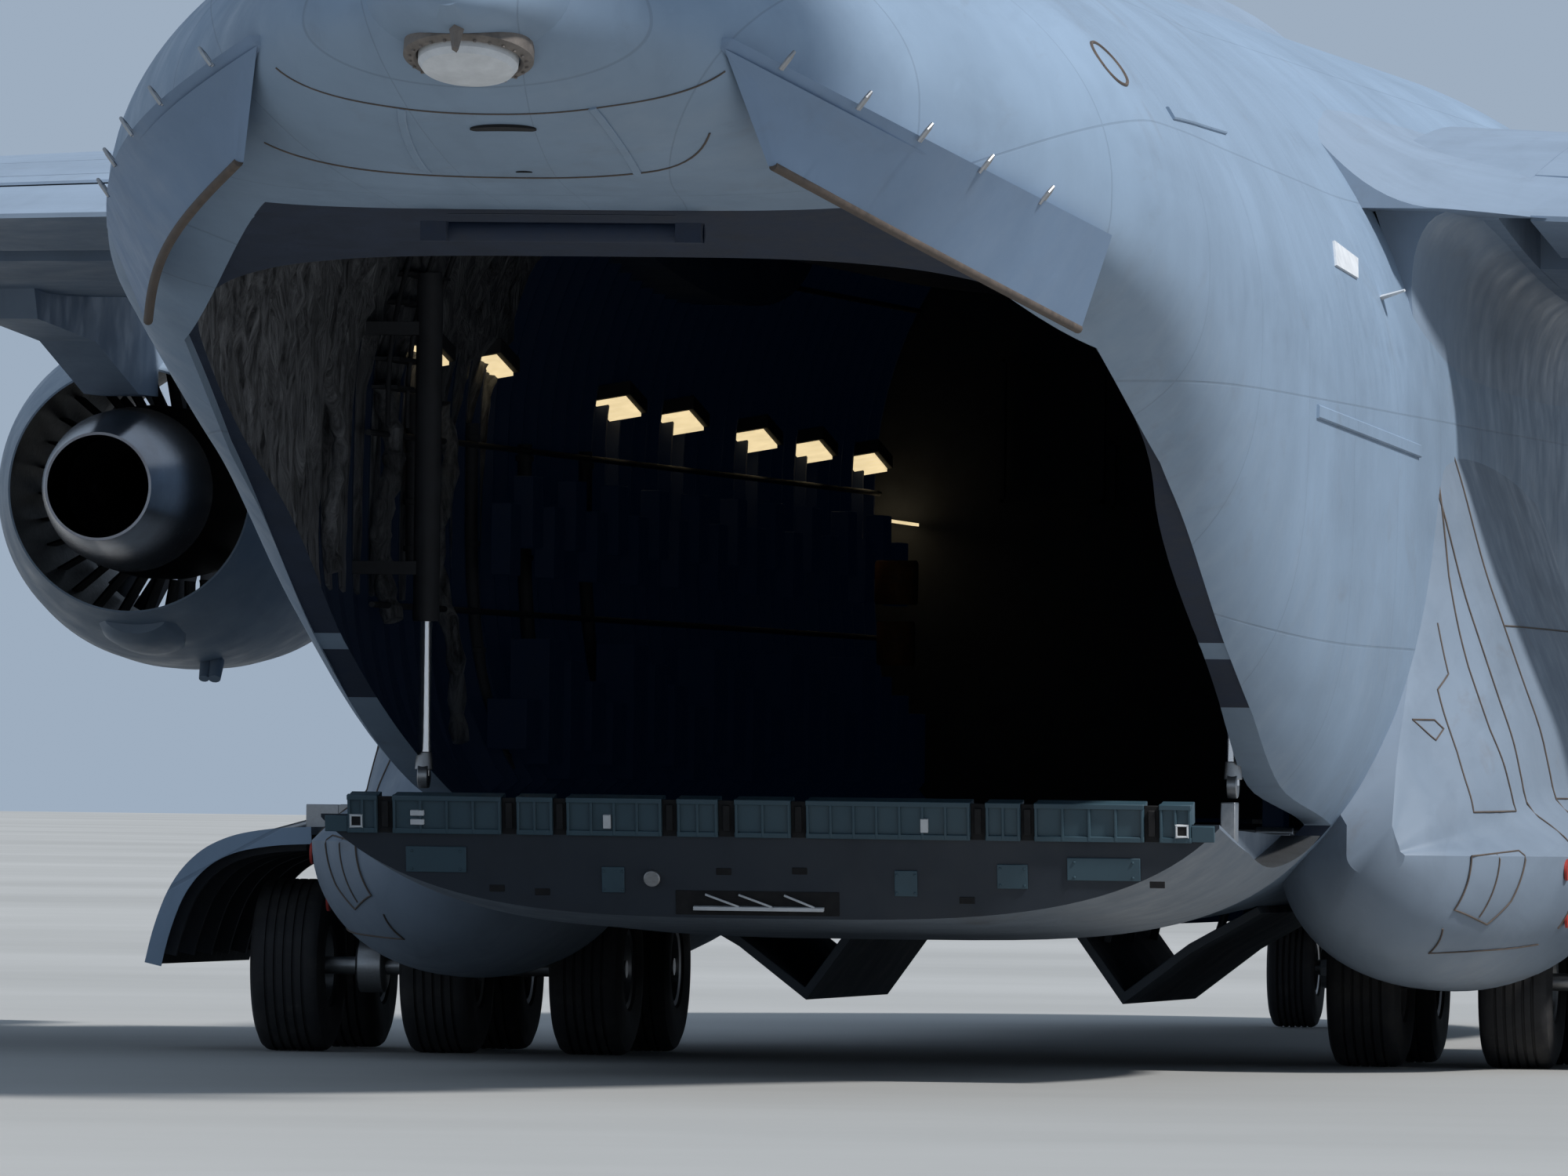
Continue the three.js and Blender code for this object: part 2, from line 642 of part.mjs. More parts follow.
function wingCentre() {
  const crown = [
    // aft, half width, top
    [13800, 500, 7600], [15200, 1900, 7900], [18500, 2400, 8080], [25500, 2400, 8020], [28700, 1700, 7800],
  ].map(([aft, half, top]) => {
    const ring = [];
    for (let i = 0; i <= 16; i += 1) {
      const angle = (i / 16) * Math.PI;
      ring.push(place(half * Math.cos(angle), aft, 5600 + (top - 5600) * Math.sin(angle)));
    }
    return ring;
  });
  const block = loft(crown);
  const body = hull(FORWARD_END, CENTRE_END, 0).intersect(box(-3900, 3900, FORWARD_END + GAP, 28900 - GAP, 5560 + GAP, 9000));
  const stub = wingBody(0, STUB - GAP);
  const hollow = hull(12000, FORWARD_END, -GAP).intersect(box(-4000, 4000, 12000, FORWARD_END + GAP, 0, 9000));
  const whole = join([body, block, stub, mirrored(stub)])
    .subtract(box(-3900, 3900, 12000, 30000, 0, 5560 + GAP))
    .subtract(hollow)
    .subtract(hull(28900, CENTRE_END, -GAP));
  add('wing_centre', whole, 'paint');
}

function flapRing(side, grow) {
  const row = rowOf(WING, side);
  const share = FLAP_CHORD;
  const lead = 1 - share;
  const front = halfDepth(lead, row[4]) * FLAP_NOSE;
  const full = halfDepth(lead + 0.06, row[4]) * 0.97;
  const ring = [];
  const scale = row[2] - row[1];
  const g = grow / scale;
  for (let i = 0; i <= 5; i += 1) {
    const angle = Math.PI / 2 + (i / 5) * Math.PI;
    ring.push(wingPoint(row, lead + front * 0.9 + (front + g) * 0.9 * Math.cos(angle), (front + g) * Math.sin(angle)));
  }
  ring.push(wingPoint(row, lead + 0.06, -full - g), wingPoint(row, 1 + g, -0.0018 - g));
  ring.push(wingPoint(row, 1 + g, 0.0018 + g), wingPoint(row, lead + 0.06, full + g));
  return ring;
}

// Everything behind the flap's place, but for a thin shroud left on top of it
function coveRing(side) {
  const row = rowOf(WING, side);
  const front = 1 - FLAP_CHORD - 0.004;
  const back = 1 - FLAP_CHORD + 0.032;
  const under = (x) => halfDepth(x, row[4]) * SHROUD;
  return [
    [front, -0.2], [front, under(front)], [back, under(back)], [back, 0.2], [1.2, 0.2], [1.2, -0.2],
  ].map(([x, y]) => wingPoint(row, x, y));
}

// The top of the wing where the spoilers lie, down to a depth
function spoilerRing(side, deep, grow) {
  const row = rowOf(WING, side);
  const chord = row[2] - row[1];
  const [front, back] = [SPOILER_CHORD[0] - grow / chord, SPOILER_CHORD[1] + grow / chord];
  const floor = (x) => halfDepth(x, row[4]) - deep / chord;
  return [[front, floor(front)], [front, 0.2], [back, 0.2], [back, floor(back)]].map(([x, y]) => wingPoint(row, x, y));
}

// A place on a spoiler's hinge line, half way through its skin
function spoilerHinge(side) {
  const row = rowOf(WING, side);
  const chord = row[2] - row[1];
  const x = SPOILER_CHORD[0] + SPOILER_SKIN.hinge / chord;
  return wingPoint(row, x, halfDepth(x, row[4]) - SPOILER_SKIN.thick / 2 / chord);
}

// A loft across the wing of the ring that a function gives at each side
function spanwise(from, to, ringAt) {
  const sides = [from, ...WING.map(([side]) => side).filter((side) => side > from && side < to), to];
  return loft(sides.map(ringAt));
}

function flapHinge(side) {
  const row = rowOf(WING, side);
  const at = wingPoint(row, 1 - FLAP_CHORD, 0);
  return [at.y, at.z - FLAP_HINGE_DROP];
}

// All that lies ahead of a flap's hinge line (push below zero) or behind it (push above zero)
function hingeHalf(from, to, push) {
  const far = push < 0 ? 0 : 60000;
  const at = (side) => [side, flapHinge(side)[0] + LENGTH / 2 + push];
  return prism([[from, far], at(from), at(to), [to, far]], 'up', 0, 9000);
}

// A streamlined canoe under the wing that carries a flap hinge
function canoe(side, aftFrom, aftTo, up, deep, wide) {
  const rings = [];
  const steps = 5;
  for (let r = 0; r <= steps; r += 1) {
    const part = r / steps;
    const size = Math.max(Math.sin(Math.PI * (0.06 + 0.88 * part)) ** 0.75, 0.1);
    const ring = [];
    for (let i = 0; i < 8; i += 1) {
      const angle = (i / 8) * 2 * Math.PI;
      ring.push(place(
        side + (wide / 2) * size * Math.cos(angle),
        aftFrom + (aftTo - aftFrom) * part,
        up - 60 * part + (deep / 2) * size * Math.sin(angle),
      ));
    }
    rings.push(ring);
  }
  return loft(rings);
}

function winglet() {
  const { height, root, tip, sweep, out } = WINGLET;
  const row = rowOf(WING, 25150);
  const base = row[2] - root;
  const rings = [0, 0.25, 1].map((part) => foilRing((x, y) => {
    const chord = root + (tip - root) * part;
    const side = part === 0 ? 25100 : 25150 + 60 + out * part;
    return place(side + y * chord, base + sweep * part + chord * x, row[3] - 40 + height * part);
  }, 0.09, 6));
  return loft(rings);
}

// The plan of a strip of the wing between two chord shares, as [side, aft]
function strip(from, to, shareFrom, shareTo, grow) {
  const sides = [from, ...WING.map(([side]) => side).filter((side) => side > from && side < to), to];
  const at = (side, share, push) => {
    const row = rowOf(WING, side);
    return [side, row[1] + (row[2] - row[1]) * share + push];
  };
  const front = sides.map((side) => at(side, shareFrom, -grow));
  const back = sides.map((side) => at(side, shareTo, grow)).reverse();
  const outline = [...front, ...back];
  outline[0][0] -= grow;
  outline[outline.length - 1][0] -= grow;
  outline[sides.length - 1][0] += grow;
  outline[sides.length][0] += grow;
  return prism(outline, 'up', 0, 12000);
}

function pylon(side, exhaust, up) {
  const row = rowOf(WING, side);
  const lead = row[1];
  const outline = [
    [exhaust - 4700, up + 1150], [exhaust - 4300, up + 1620], [lead - 1000, row[3] + 260],
    [lead + 500, row[3] + 250], [lead + 4200, row[3] - 250], [lead + 3900, row[3] - 700],
    [exhaust + 1300, up + 1050], [exhaust - 500, up + 700], [exhaust - 1600, up + 700],
  ];
  return prism(outline, 'side', side - 210, side + 210);
}

function nacelleProfile(exhaust) {
  return [
    // radius, aft: inlet lip, outer cowl to the fan nozzle, then back along the duct
    [1130, exhaust - 6050], [1230, exhaust - 5850], [1320, exhaust - 4900], [1330, exhaust - 3600],
    [1230, exhaust - 2500], [930, exhaust - 1300],
    [905, exhaust - 1310], [1090, exhaust - 3000], [1085, exhaust - 4900], [1060, exhaust - 5700],
  ];
}

function closed(profile) {
  return [...profile, profile[0]];
}

function wings() {
  const top = wingBody(STUB, 25150);
  const cove = spanwise(...COVE_SPAN, coveRing);
  const hinged = (s, grow) => {
    const row = rowOf(WING, s);
    const g = grow / (row[2] - row[1]);
    return wedgeRing((x, y) => wingPoint(row, x, y), row[4], AILERON_CHORD, g);
  };
  const [a0, a1] = AILERON_SPAN;
  const aileronCut = loft([hinged(a0 - 24, MOVING_GAP + 4), hinged(a1 + 24, MOVING_GAP + 4)])
    .add(strip(a0 - 24, a1 + 24, 1 - AILERON_CHORD, 1.2, 0));
  const { thick, pocket: deep, play } = SPOILER_SKIN;
  const pocket = join(SPOILER_SPANS.map(([, from, to]) => spanwise(
    from - 30, to + 30, (side) => spoilerRing(side, deep, play),
  )));
  const spoilerPins = [];
  SPOILER_SPANS.forEach(([name, from, to]) => {
    const ends = bothEnds(spoilerHinge(from), spoilerHinge(to));
    spoilerPins.push(pins(ends, PIN));
    const panel = top.intersect(spanwise(from, to, (side) => spoilerRing(side, thick, 0)));
    const drilled = panel.subtract(pins(ends, PIN, true));
    add(`${name}_port`, drilled, 'shade');
    add(`${name}_starboard`, mirrored(drilled), 'shade');
  });
  const pieces = FAIRINGS.map((side) => {
    const row = rowOf(WING, side);
    const hinge = flapHinge(side);
    const aft = hinge[0] + LENGTH / 2;
    return canoe(side, row[1] + (row[2] - row[1]) * 0.4, aft + 1500, hinge[1] + 560 + side * 0.01, 1190 - side * 0.01, 480);
  });
  const wingSolid = top.subtract(cove).subtract(aileronCut).subtract(pocket);
  const carried = ENGINES.map(([, side, exhaust, up]) => pylon(side, exhaust, up)
    .subtract(turned(bore(exhaust), side, up, NACELLE_TURN)));
  const ahead = join(FLAP_SPANS.map(([, from, to]) => hingeHalf(from, to, -GAP / 2)));
  const stillCanoes = pieces.map((piece) => piece.intersect(ahead));
  const aileronEnds = bothEnds(...AILERON_SPAN.map((side) => wingPoint(rowOf(WING, side), 1 - AILERON_CHORD, 0)));
  const whole = join([
    wingSolid, ...stillCanoes, winglet(), ...carried, ...spoilerPins, pins(aileronEnds, PIN),
  ]);
  add('wing_port', whole, 'paint');
  add('wing_starboard', mirrored(whole), 'paint');

  FLAP_SPANS.forEach(([name, from, to]) => {
    const sides = [from, ...WING.map(([side]) => side).filter((s) => s > from && s < to), to];
    const flap = loft(sides.map((s) => flapRing(s, 0)));
    const behind = hingeHalf(from, to, GAP / 2);
    const tails = pieces.filter((_, k) => FAIRINGS[k] > from && FAIRINGS[k] < to)
      .map((piece) => piece.intersect(behind));
    const both = join([flap, ...tails]);
    add(`${name}_port`, both, 'shade');
    add(`${name}_starboard`, mirrored(both), 'shade');
  });
  const aileron = loft([a0, a1].map((s) => hinged(s, 0))).subtract(pins(aileronEnds, PIN, true));
  add('aileron_port', aileron, 'shade');
  add('aileron_starboard', mirrored(aileron), 'shade');
}

// The plain bore inside a nacelle, used to trim the pylon
function bore(exhaust) {
  const outer = nacelleProfile(exhaust).slice(0, NOZZLE_AT).map(([r, aft]) => [r + 1.2, aft]);
  return [[0, exhaust - 6100], ...outer, [640, exhaust - 1295], [640, exhaust - 200], [0, exhaust + 100]];
}

function engines() {
  ENGINES.forEach(([row, side, exhaust, up]) => {
    const nacelle = turned(closed(nacelleProfile(exhaust)), side, up, NACELLE_TURN);
    const body = turned([
      [0, exhaust - FAN.back + GAP], [220, exhaust - FAN.back + GAP], [220, exhaust - 4550],
      [300, exhaust - 4550], [600, exhaust - 4200],
      [640, exhaust - 2000], [560, exhaust - 900], [405, exhaust], [375, exhaust], [430, exhaust - 500],
      [250, exhaust - 480], [0, exhaust + 60],
    ], side, up, 18);
    const vanes = [];
    for (let i = 0; i < 6; i += 1) {
      const angle = ((i + 0.5) / 6) * 2 * Math.PI;
      const at = (r) => place(side + r * Math.cos(angle), exhaust - 3900, up + r * Math.sin(angle));
      vanes.push(vane(at(560), at(1120), angle));
    }
    const inside = turned([
      [0, exhaust - 4890], [1085 - GAP, exhaust - 4890], [1090 - GAP, exhaust - 3010], [0, exhaust - 3010],
    ], side, up, NACELLE_TURN);
    const core = join([body, ...vanes.map((v) => v.intersect(inside))]);
    const fan = fanBody(side, exhaust - FAN.back, up);
    [['port', (b) => b], ['starboard', mirrored]].forEach(([hand, turn]) => {
      add(`nacelle_${row}_${hand}`, turn(nacelle), 'paint');
      add(`engine_core_${row}_${hand}`, turn(core), 'metal');
      add(`fan_${row}_${hand}`, turn(fan), 'metal');
    });
  });
}

// A guide vane between two places, long fore and aft
function vane(from, to, angle) {
  const across = new THREE.Vector3(-Math.sin(angle), 0, Math.cos(angle)).multiplyScalar(14);
  const along = new THREE.Vector3(0, 190, 0);
  const ring = (p) => [
    p.clone().sub(along), p.clone().add(across), p.clone().add(along), p.clone().sub(across),
  ];
  return loft([ring(from), ring(to)]);
}

function fanBody(side, aft, up) {
  const hub = turned([[0, aft - 580], [200, aft - 400], [330, aft - 80], [330, aft], [0, aft]], side, up, 12);
  const blades = [];
  for (let i = 0; i < FAN.blades; i += 1) {
    const angle = (i / FAN.blades) * 2 * Math.PI;
    const out = new THREE.Vector3(Math.cos(angle), 0, Math.sin(angle));
    const round = new THREE.Vector3(-Math.sin(angle), 0, Math.cos(angle));
    const ring = (r, chord, twist) => {
      const centre = place(side, aft - 140, up).add(out.clone().multiplyScalar(r));
      const way = new THREE.Vector3(0, Math.cos(twist), 0).add(round.clone().multiplyScalar(Math.sin(twist)));
      const flat = new THREE.Vector3(0, -Math.sin(twist), 0).add(round.clone().multiplyScalar(Math.cos(twist)));
      return [[-0.5, 0], [0, 8], [0.5, 0], [0, -8]].map(([u, v]) => centre.clone()
        .add(way.clone().multiplyScalar(u * chord)).add(flat.clone().multiplyScalar(v)));
    };
    blades.push(loft([ring(240, 200, rad(35)), ring(1035, 300, rad(62))]));
  }
  return join([hub, ...blades]);
}

function finAndRudders() {
  const finPoint = (row, x, y) => {
    const [up, lead, trail] = row;
    return place((trail - lead) * y, lead + (trail - lead) * x, up);
  };
  const ring = (up) => {
    const row = rowOf(FIN, up);
    return foilRing((x, y) => finPoint(row, x, y), row[3], 8);
  };
  const hinged = (up, grow) => {
    const row = rowOf(FIN, up);
    return wedgeRing((x, y) => finPoint(row, x, y), row[3], RUDDER_CHORD, grow / (row[2] - row[1]));
  };
  const axisAt = (up) => finPoint(rowOf(FIN, up), 1 - RUDDER_CHORD, 0);
  const [bottom, top] = [RUDDERS[0][1], RUDDERS[1][2]];
  const ends = bothEnds(axisAt(bottom), axisAt(top));
  const pair = RUDDERS.map(([name, low, high], i) => {
    const body = loft([hinged(low, 0), hinged(high, 0)]).subtract(pins([ends[i]], RUDDER_PIN, true));
    return [name, body];
  });
  const joint = bothEnds(axisAt(RUDDERS[1][1]), axisAt(top))[0];
  const inner = [joint[0], joint[1]];
  pair[0][1] = pair[0][1].subtract(pins([inner], RUDDER_PIN, true));
  pair[1][1] = pair[1][1].add(pins([inner], RUDDER_PIN));
  pair.forEach(([name, body]) => add(name, body, 'shade'));
  const [low, high] = [bottom - RUDDER_PLAY, top + RUDDER_PLAY];
  const cut = loft([hinged(low, MOVING_GAP * 2), hinged(high, MOVING_GAP * 2)]);
  const behind = (up, push) => [axisAt(up).y + LENGTH / 2 + push, up];
  const wedge = prism([behind(low, 0), behind(low, 6000), behind(high, 6000), behind(high, 0)], 'side', -900, 900);
  let fin = loft(FIN.map(([up]) => ring(up))).subtract(cut).subtract(wedge).add(pins(ends, RUDDER_PIN));
  const dorsal = prism([[33800, 7640], [39000, 7500], [41500, 7500], [40300, 9500], [38700, 8400]], 'side', -90, 90);
  fin = fin.add(dorsal).subtract(hull(30400, TAIL_END, -GAP));
  add('fin', fin.subtract(bulletBody(1.2)).subtract(box(-900, 900, 40000, 60000, 15940, 18000)), 'paint');
}

function tailplane() {
  const flatPoint = (row, x, y) => {
    const [side, lead, trail, up] = row;
    return place(side, lead + (trail - lead) * x, up + (trail - lead) * y);
  };
  const half = loft([0, 9905].map((side) => {
    const row = rowOf(TAILPLANE, side);
    return foilRing((x, y) => flatPoint(row, x, y), row[4], 8);
  }));
  const [e0, e1] = ELEVATOR_SPAN;
  const flap = (side, grow) => {
    const row = rowOf(TAILPLANE, side);
    return wedgeRing((x, y) => flatPoint(row, x, y), row[4], ELEVATOR_CHORD, grow / (row[2] - row[1]));
  };
  const behindLine = (side) => {
    const row = rowOf(TAILPLANE, side);
    return [side, row[1] + (row[2] - row[1]) * (1 - ELEVATOR_CHORD)];
  };
  const cutOut = loft([flap(e0 - 24, MOVING_GAP + 4), flap(e1 + 24, MOVING_GAP + 4)]).add(prism(
    [behindLine(e0 - 24), behindLine(e1 + 24), [e1 + 24, 60000], [e0 - 24, 60000]], 'up', 14000, 18000,
  ));
  const cut = half.subtract(cutOut);
  const tips = bothEnds(...ELEVATOR_SPAN.map((side) => flatPoint(rowOf(TAILPLANE, side), 1 - ELEVATOR_CHORD, 0)));
  const held = cut.add(pins(tips, PIN));
  add('tailplane', join([held, mirrored(held), bulletBody(0)]), 'paint');
  const elevator = loft([flap(e0, 0), flap(e1, 0)]).subtract(pins(tips, PIN, true));
  add('elevator_port', elevator, 'shade');
  add('elevator_starboard', mirrored(elevator), 'shade');
}

function bulletBody(grow) {
  const profile = [[170, 44500], [400, 45300], [560, 46800], [560, 49500], [380, 51300], [110, 52500]];
  const run = profile.map(([r, aft]) => [r + grow, aft]);
  return turned([[0, 44300 - grow], ...run, [0, 52560 + grow]], 0, 16230, 18);
}

function sponsons() {
  const rings = SPONSON.map(([aft, inner, outer, bottom, top]) => {
    const ring = [];
    const middle = (bottom + top) / 2;
    for (let i = 0; i < 20; i += 1) {
      const angle = (i / 20) * 2 * Math.PI;
      const c = Math.cos(angle);
      const s = Math.sin(angle);
      ring.push(place(
        (inner + outer) / 2 + ((outer - inner) / 2) * Math.sign(c) * Math.abs(c) ** 0.55,
        aft,
        middle + ((top - bottom) / 2) * Math.sign(s) * Math.abs(s) ** 0.7,
      ));
    }
    return ring;
  });
  const bay = box(BAY.inner, BAY.outer, BAY.from, BAY.to, 0, BAY.top);
  const cheek = box(4600, 5600, BAY.from, BAY.to, 0, 1500);
  const body = loft(rings).subtract(hull(15000, 33500, -GAP)).subtract(bay).subtract(cheek)
    .subtract(box(0, 2380, BAY.from, BAY.to, 0, 1500));
  add('sponson_port', largest(body), 'paint');
  add('sponson_starboard', mirrored(largest(body)), 'paint');

  const leaf = GEAR_LEAF;
  const inside = leaf.map(([side, up], i) => {
    const [before, after] = [leaf[Math.max(i - 1, 0)], leaf[Math.min(i + 1, leaf.length - 1)]];
    const run = Math.hypot(after[0] - before[0], after[1] - before[1]);
    const push = GEAR_DOOR.thick / run;
    return [side + (after[1] - before[1]) * push, up - (after[0] - before[0]) * push];
  }).reverse();
  const outline = [...leaf, ...inside].map(([side, up]) => new THREE.Vector2(side, up));
  const geometry = new THREE.ExtrudeGeometry(new THREE.Shape(outline), { depth: GEAR_DOOR.to - GEAR_DOOR.from, bevelEnabled: false });
  geometry.rotateX(Math.PI / 2);
  geometry.translate(0, GEAR_DOOR.to - LENGTH / 2, 0);
  const door = solid(geometry);
  const fixing = [23900, 25200, 26600].map((aft) => box(4565, 4800, aft - 60, aft + 60, 1560, BAY.top - GAP));
  const whole = join([door, ...fixing]);
  add('main_gear_door_port', largest(whole), 'paint');
  add('main_gear_door_starboard', mirrored(largest(whole)), 'paint');
}

// The biggest separate piece of a body
function largest(body) {
  return body.decompose().reduce((best, piece) => (piece.volume() > best.volume() ? piece : best));
}

// One tyre and rim as a run of [radius, side] points from its inner side to its outer side
function tyreRun(side, { radius, width, rim }) {
  const half = width / 2;
  return [
    [AXLE, side - half * 0.7], [rim, side - half * 0.84], [radius * 0.76, side - half], [radius, side - half * 0.58],
    [radius, side + half * 0.58], [radius * 0.76, side + half], [rim, side + half * 0.84], [AXLE, side + half * 0.7],
  ];
}

function wheels() {
  MAIN_ROWS.forEach(([row, aft]) => {
    const run = MAIN_WHEELS.flatMap((side) => tyreRun(side, MAIN_TYRE));
    const first = MAIN_WHEELS[0] - 240;
    const last = MAIN_WHEELS[2] + 240;
    const body = axled([[0, first], [AXLE, first], ...run, [AXLE, last], [0, last]], aft, MAIN_TYRE.radius, TYRE_TURN);
    add(`main_wheels_${row}_port`, mirroredIf(body, true), 'rubber');
    add(`main_wheels_${row}_starboard`, mirroredIf(body, false), 'rubber');
  });
  const run = NOSE_WHEELS.flatMap((side) => tyreRun(side, NOSE_TYRE));
  const first = NOSE_WHEELS[0] - 190;
  const last = NOSE_WHEELS[1] + 190;
  add('nose_wheels', axled([[0, first], [AXLE, first], ...run, [AXLE, last], [0, last]], NOSE_AXLE, NOSE_TYRE.radius, TYRE_TURN), 'rubber');
}

// The turned wheels come out on one side of the middle; keep or mirror by their own place
function mirroredIf(body, port) {
  const bounds = body.boundingBox();
  const isPort = bounds.min[0] > 0;
  return isPort === port ? body : mirrored(body);
}

function legs() {
  const pieces = MAIN_ROWS.flatMap(([, aft]) => {
    const foot = place(MAIN_LEG_SIDE, aft, MAIN_TYRE.radius);
    const head = place(MAIN_LEG_SIDE, aft, BAY.top + 40);
    const collar = bar(
      place(MAIN_LEG_SIDE - 90, aft, MAIN_TYRE.radius), place(MAIN_LEG_SIDE + 90, aft, MAIN_TYRE.radius), 190, 12,
    );
    const lower = bar(foot, head, 105, 10);
    const upper = bar(place(MAIN_LEG_SIDE, aft, 1180), head, 165, 10);
    return [collar, lower, upper];
  });
  const beam = box(MAIN_LEG_SIDE - 190, MAIN_LEG_SIDE + 190, MAIN_ROWS[0][1] - 400, MAIN_ROWS[1][1] + 400, 1480, BAY.top - GAP);
  const braces = MAIN_ROWS.map(([, aft], i) => bar(
    place(MAIN_LEG_SIDE, aft, 1050), place(MAIN_LEG_SIDE, aft + (i === 0 ? 700 : -700), 1560), 55, 8,
  ));
  const holes = MAIN_ROWS.map(([, aft]) => bar(
    place(MAIN_LEG_SIDE - 400, aft, MAIN_TYRE.radius), place(MAIN_LEG_SIDE + 400, aft, MAIN_TYRE.radius), AXLE + AXLE_PLAY, TYRE_TURN + 2,
  ));
  const whole = join([...pieces, beam, ...braces]).subtract(join(holes))
    .intersect(box(0, 9000, 20000, 30000, 0, BAY.top - GAP));
  add('main_leg_port', whole, 'steel');
  add('main_leg_starboard', mirrored(whole), 'steel');

  const top = place(0, NOSE_AXLE, 2300);
  const mid = place(0, NOSE_AXLE, 1250);
  const sleeve = bar(mid, top, 150, 16);
  const drag = bar(place(0, NOSE_AXLE, 1500), place(0, NOSE_AXLE - 1250, 1900), 60);
  const trunnion = bar(place(-630, NOSE_AXLE - 40, 1640), place(630, NOSE_AXLE - 40, 1640), 75, 14);
  const frame = [-1, 1].map((port) => box(port > 0 ? 560 : -660, port > 0 ? 660 : -560, 4300, 6400, 1130, 1720));
  const noseBelly = hull(3000, 8000, WALL + 1.2);
  const web = box(-660, 660, 3900, 4200, 1300, 2000);
  const still = join([sleeve, drag, trunnion, ...frame, web]).intersect(noseBelly.add(box(-500, 500, 4300, 6400, 900, 1900)));
  add('nose_leg', largest(still), 'steel');
  const post = bar(place(0, NOSE_AXLE, NOSE_TYRE.radius), place(0, NOSE_AXLE, 1250 - GAP), 90, 14);
  const hub = bar(place(-110, NOSE_AXLE, NOSE_TYRE.radius), place(110, NOSE_AXLE, NOSE_TYRE.radius), 170, 16);
  const drilled = bar(place(-400, NOSE_AXLE, NOSE_TYRE.radius), place(400, NOSE_AXLE, NOSE_TYRE.radius), AXLE + AXLE_PLAY, TYRE_TURN + 2);
  add('nose_fork', join([post, hub]).subtract(drilled), 'steel');
}

function rampRods() {
  [1, -1].forEach((port) => {
    const { side, aft, eye, radius, top } = RAMP_ROD;
    const rod = bar(place(port * side, aft, eye), place(port * side, aft, top), radius, 12);
    const ring = bar(place(port * side - 34, aft, eye), place(port * side + 34, aft, eye), 85, 14);
    add(port > 0 ? 'ramp_rod_port' : 'ramp_rod_starboard', rod.add(ring), 'steel');
  });
}

fuselage();
crewDoor();
rearDoors();
interior();
windscreen();
wingCentre();
wings();
engines();
finAndRudders();
tailplane();
sponsons();
wheels();
legs();
rampRods();

export default plane;
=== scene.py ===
import functools
import json
import math
import random

import bmesh
import bpy
import numpy as np
from mathutils import Matrix, Vector

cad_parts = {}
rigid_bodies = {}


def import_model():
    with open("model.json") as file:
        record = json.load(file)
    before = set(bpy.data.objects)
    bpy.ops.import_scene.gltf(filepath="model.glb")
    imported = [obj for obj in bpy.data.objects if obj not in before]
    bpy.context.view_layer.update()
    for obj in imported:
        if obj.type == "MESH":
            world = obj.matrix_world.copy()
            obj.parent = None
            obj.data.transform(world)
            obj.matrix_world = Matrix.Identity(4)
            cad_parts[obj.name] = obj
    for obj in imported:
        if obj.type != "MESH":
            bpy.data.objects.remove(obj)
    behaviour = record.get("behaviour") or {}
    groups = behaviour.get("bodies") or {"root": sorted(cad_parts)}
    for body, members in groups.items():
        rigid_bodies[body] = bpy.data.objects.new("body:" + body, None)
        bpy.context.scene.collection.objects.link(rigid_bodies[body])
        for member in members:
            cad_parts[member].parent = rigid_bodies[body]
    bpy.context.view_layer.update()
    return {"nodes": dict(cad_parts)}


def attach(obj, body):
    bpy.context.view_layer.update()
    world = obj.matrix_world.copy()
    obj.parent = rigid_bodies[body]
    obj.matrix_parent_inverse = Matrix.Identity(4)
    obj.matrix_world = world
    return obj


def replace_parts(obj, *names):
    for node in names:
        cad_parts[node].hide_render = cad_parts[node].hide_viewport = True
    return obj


for leftover in list(bpy.data.objects):
    bpy.data.objects.remove(leftover)
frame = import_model()

# Places are in metres on the full-size plane: side (port is plus), aft of the nose, up off the ground.
# The model is half that size, and its middle lies 26.52 m aft of the nose.
HALF = 0.5
MIDDLE = 26.52
BOTH = (("port", 1), ("starboard", -1))

# The skin: aft, half width, height of widest, top, bottom, squareness below
SKIN = [
    (0.0, 0.190, 3.050, 3.230, 2.870, 2.0),
    (0.17, 0.680, 3.050, 3.680, 2.400, 2.0),
    (0.65, 1.260, 3.080, 4.230, 1.950, 2.1),
    (1.65, 1.950, 3.150, 4.920, 1.540, 2.2),
    (3.0, 2.530, 3.350, 5.820, 1.280, 2.4),
    (4.3, 2.920, 3.650, 6.750, 1.120, 2.7),
    (6.0, 3.200, 4.000, 7.420, 1.010, 3.0),
    (8.2, 3.400, 4.230, 7.690, 0.960, 3.4),
    (10.5, 3.430, 4.300, 7.730, 0.950, 3.5),
    (30.4, 3.430, 4.300, 7.730, 0.950, 3.5),
    (33.4, 3.430, 4.500, 7.730, 1.450, 4.2),
    (36.5, 3.430, 4.750, 7.720, 2.120, 3.4),
    (39.3, 3.430, 5.000, 7.670, 3.130, 2.7),
    (42.0, 3.370, 5.350, 7.580, 4.220, 2.8),
    (45.4, 2.520, 5.950, 7.370, 5.395, 4.4),
    (46.8, 1.960, 6.120, 7.230, 5.530, 3.0),
    (48.0, 1.440, 6.330, 7.060, 5.790, 2.4),
    (48.7, 0.950, 6.420, 6.930, 6.060, 2.0),
    (49.05, 0.420, 6.470, 6.720, 6.260, 2.0),
]
TAIL_END = SKIN[-1][0]
WALL = 0.12
HOLLOW = (0.9, 47.9)
AROUND = 144

# The rear opening: half width of its cut, and the sill line that runs up its sides
OPENING = [(30.38, 3.0), (36.53, 3.0), (40.0, 2.98), (42.3, 2.87), (45.4, 1.82)]
SILL = [(30.4, 1.70), (32.9, 1.89), (36.53, 2.82), (40.0, 4.08), (42.3, 4.75), (45.4, 5.45)]

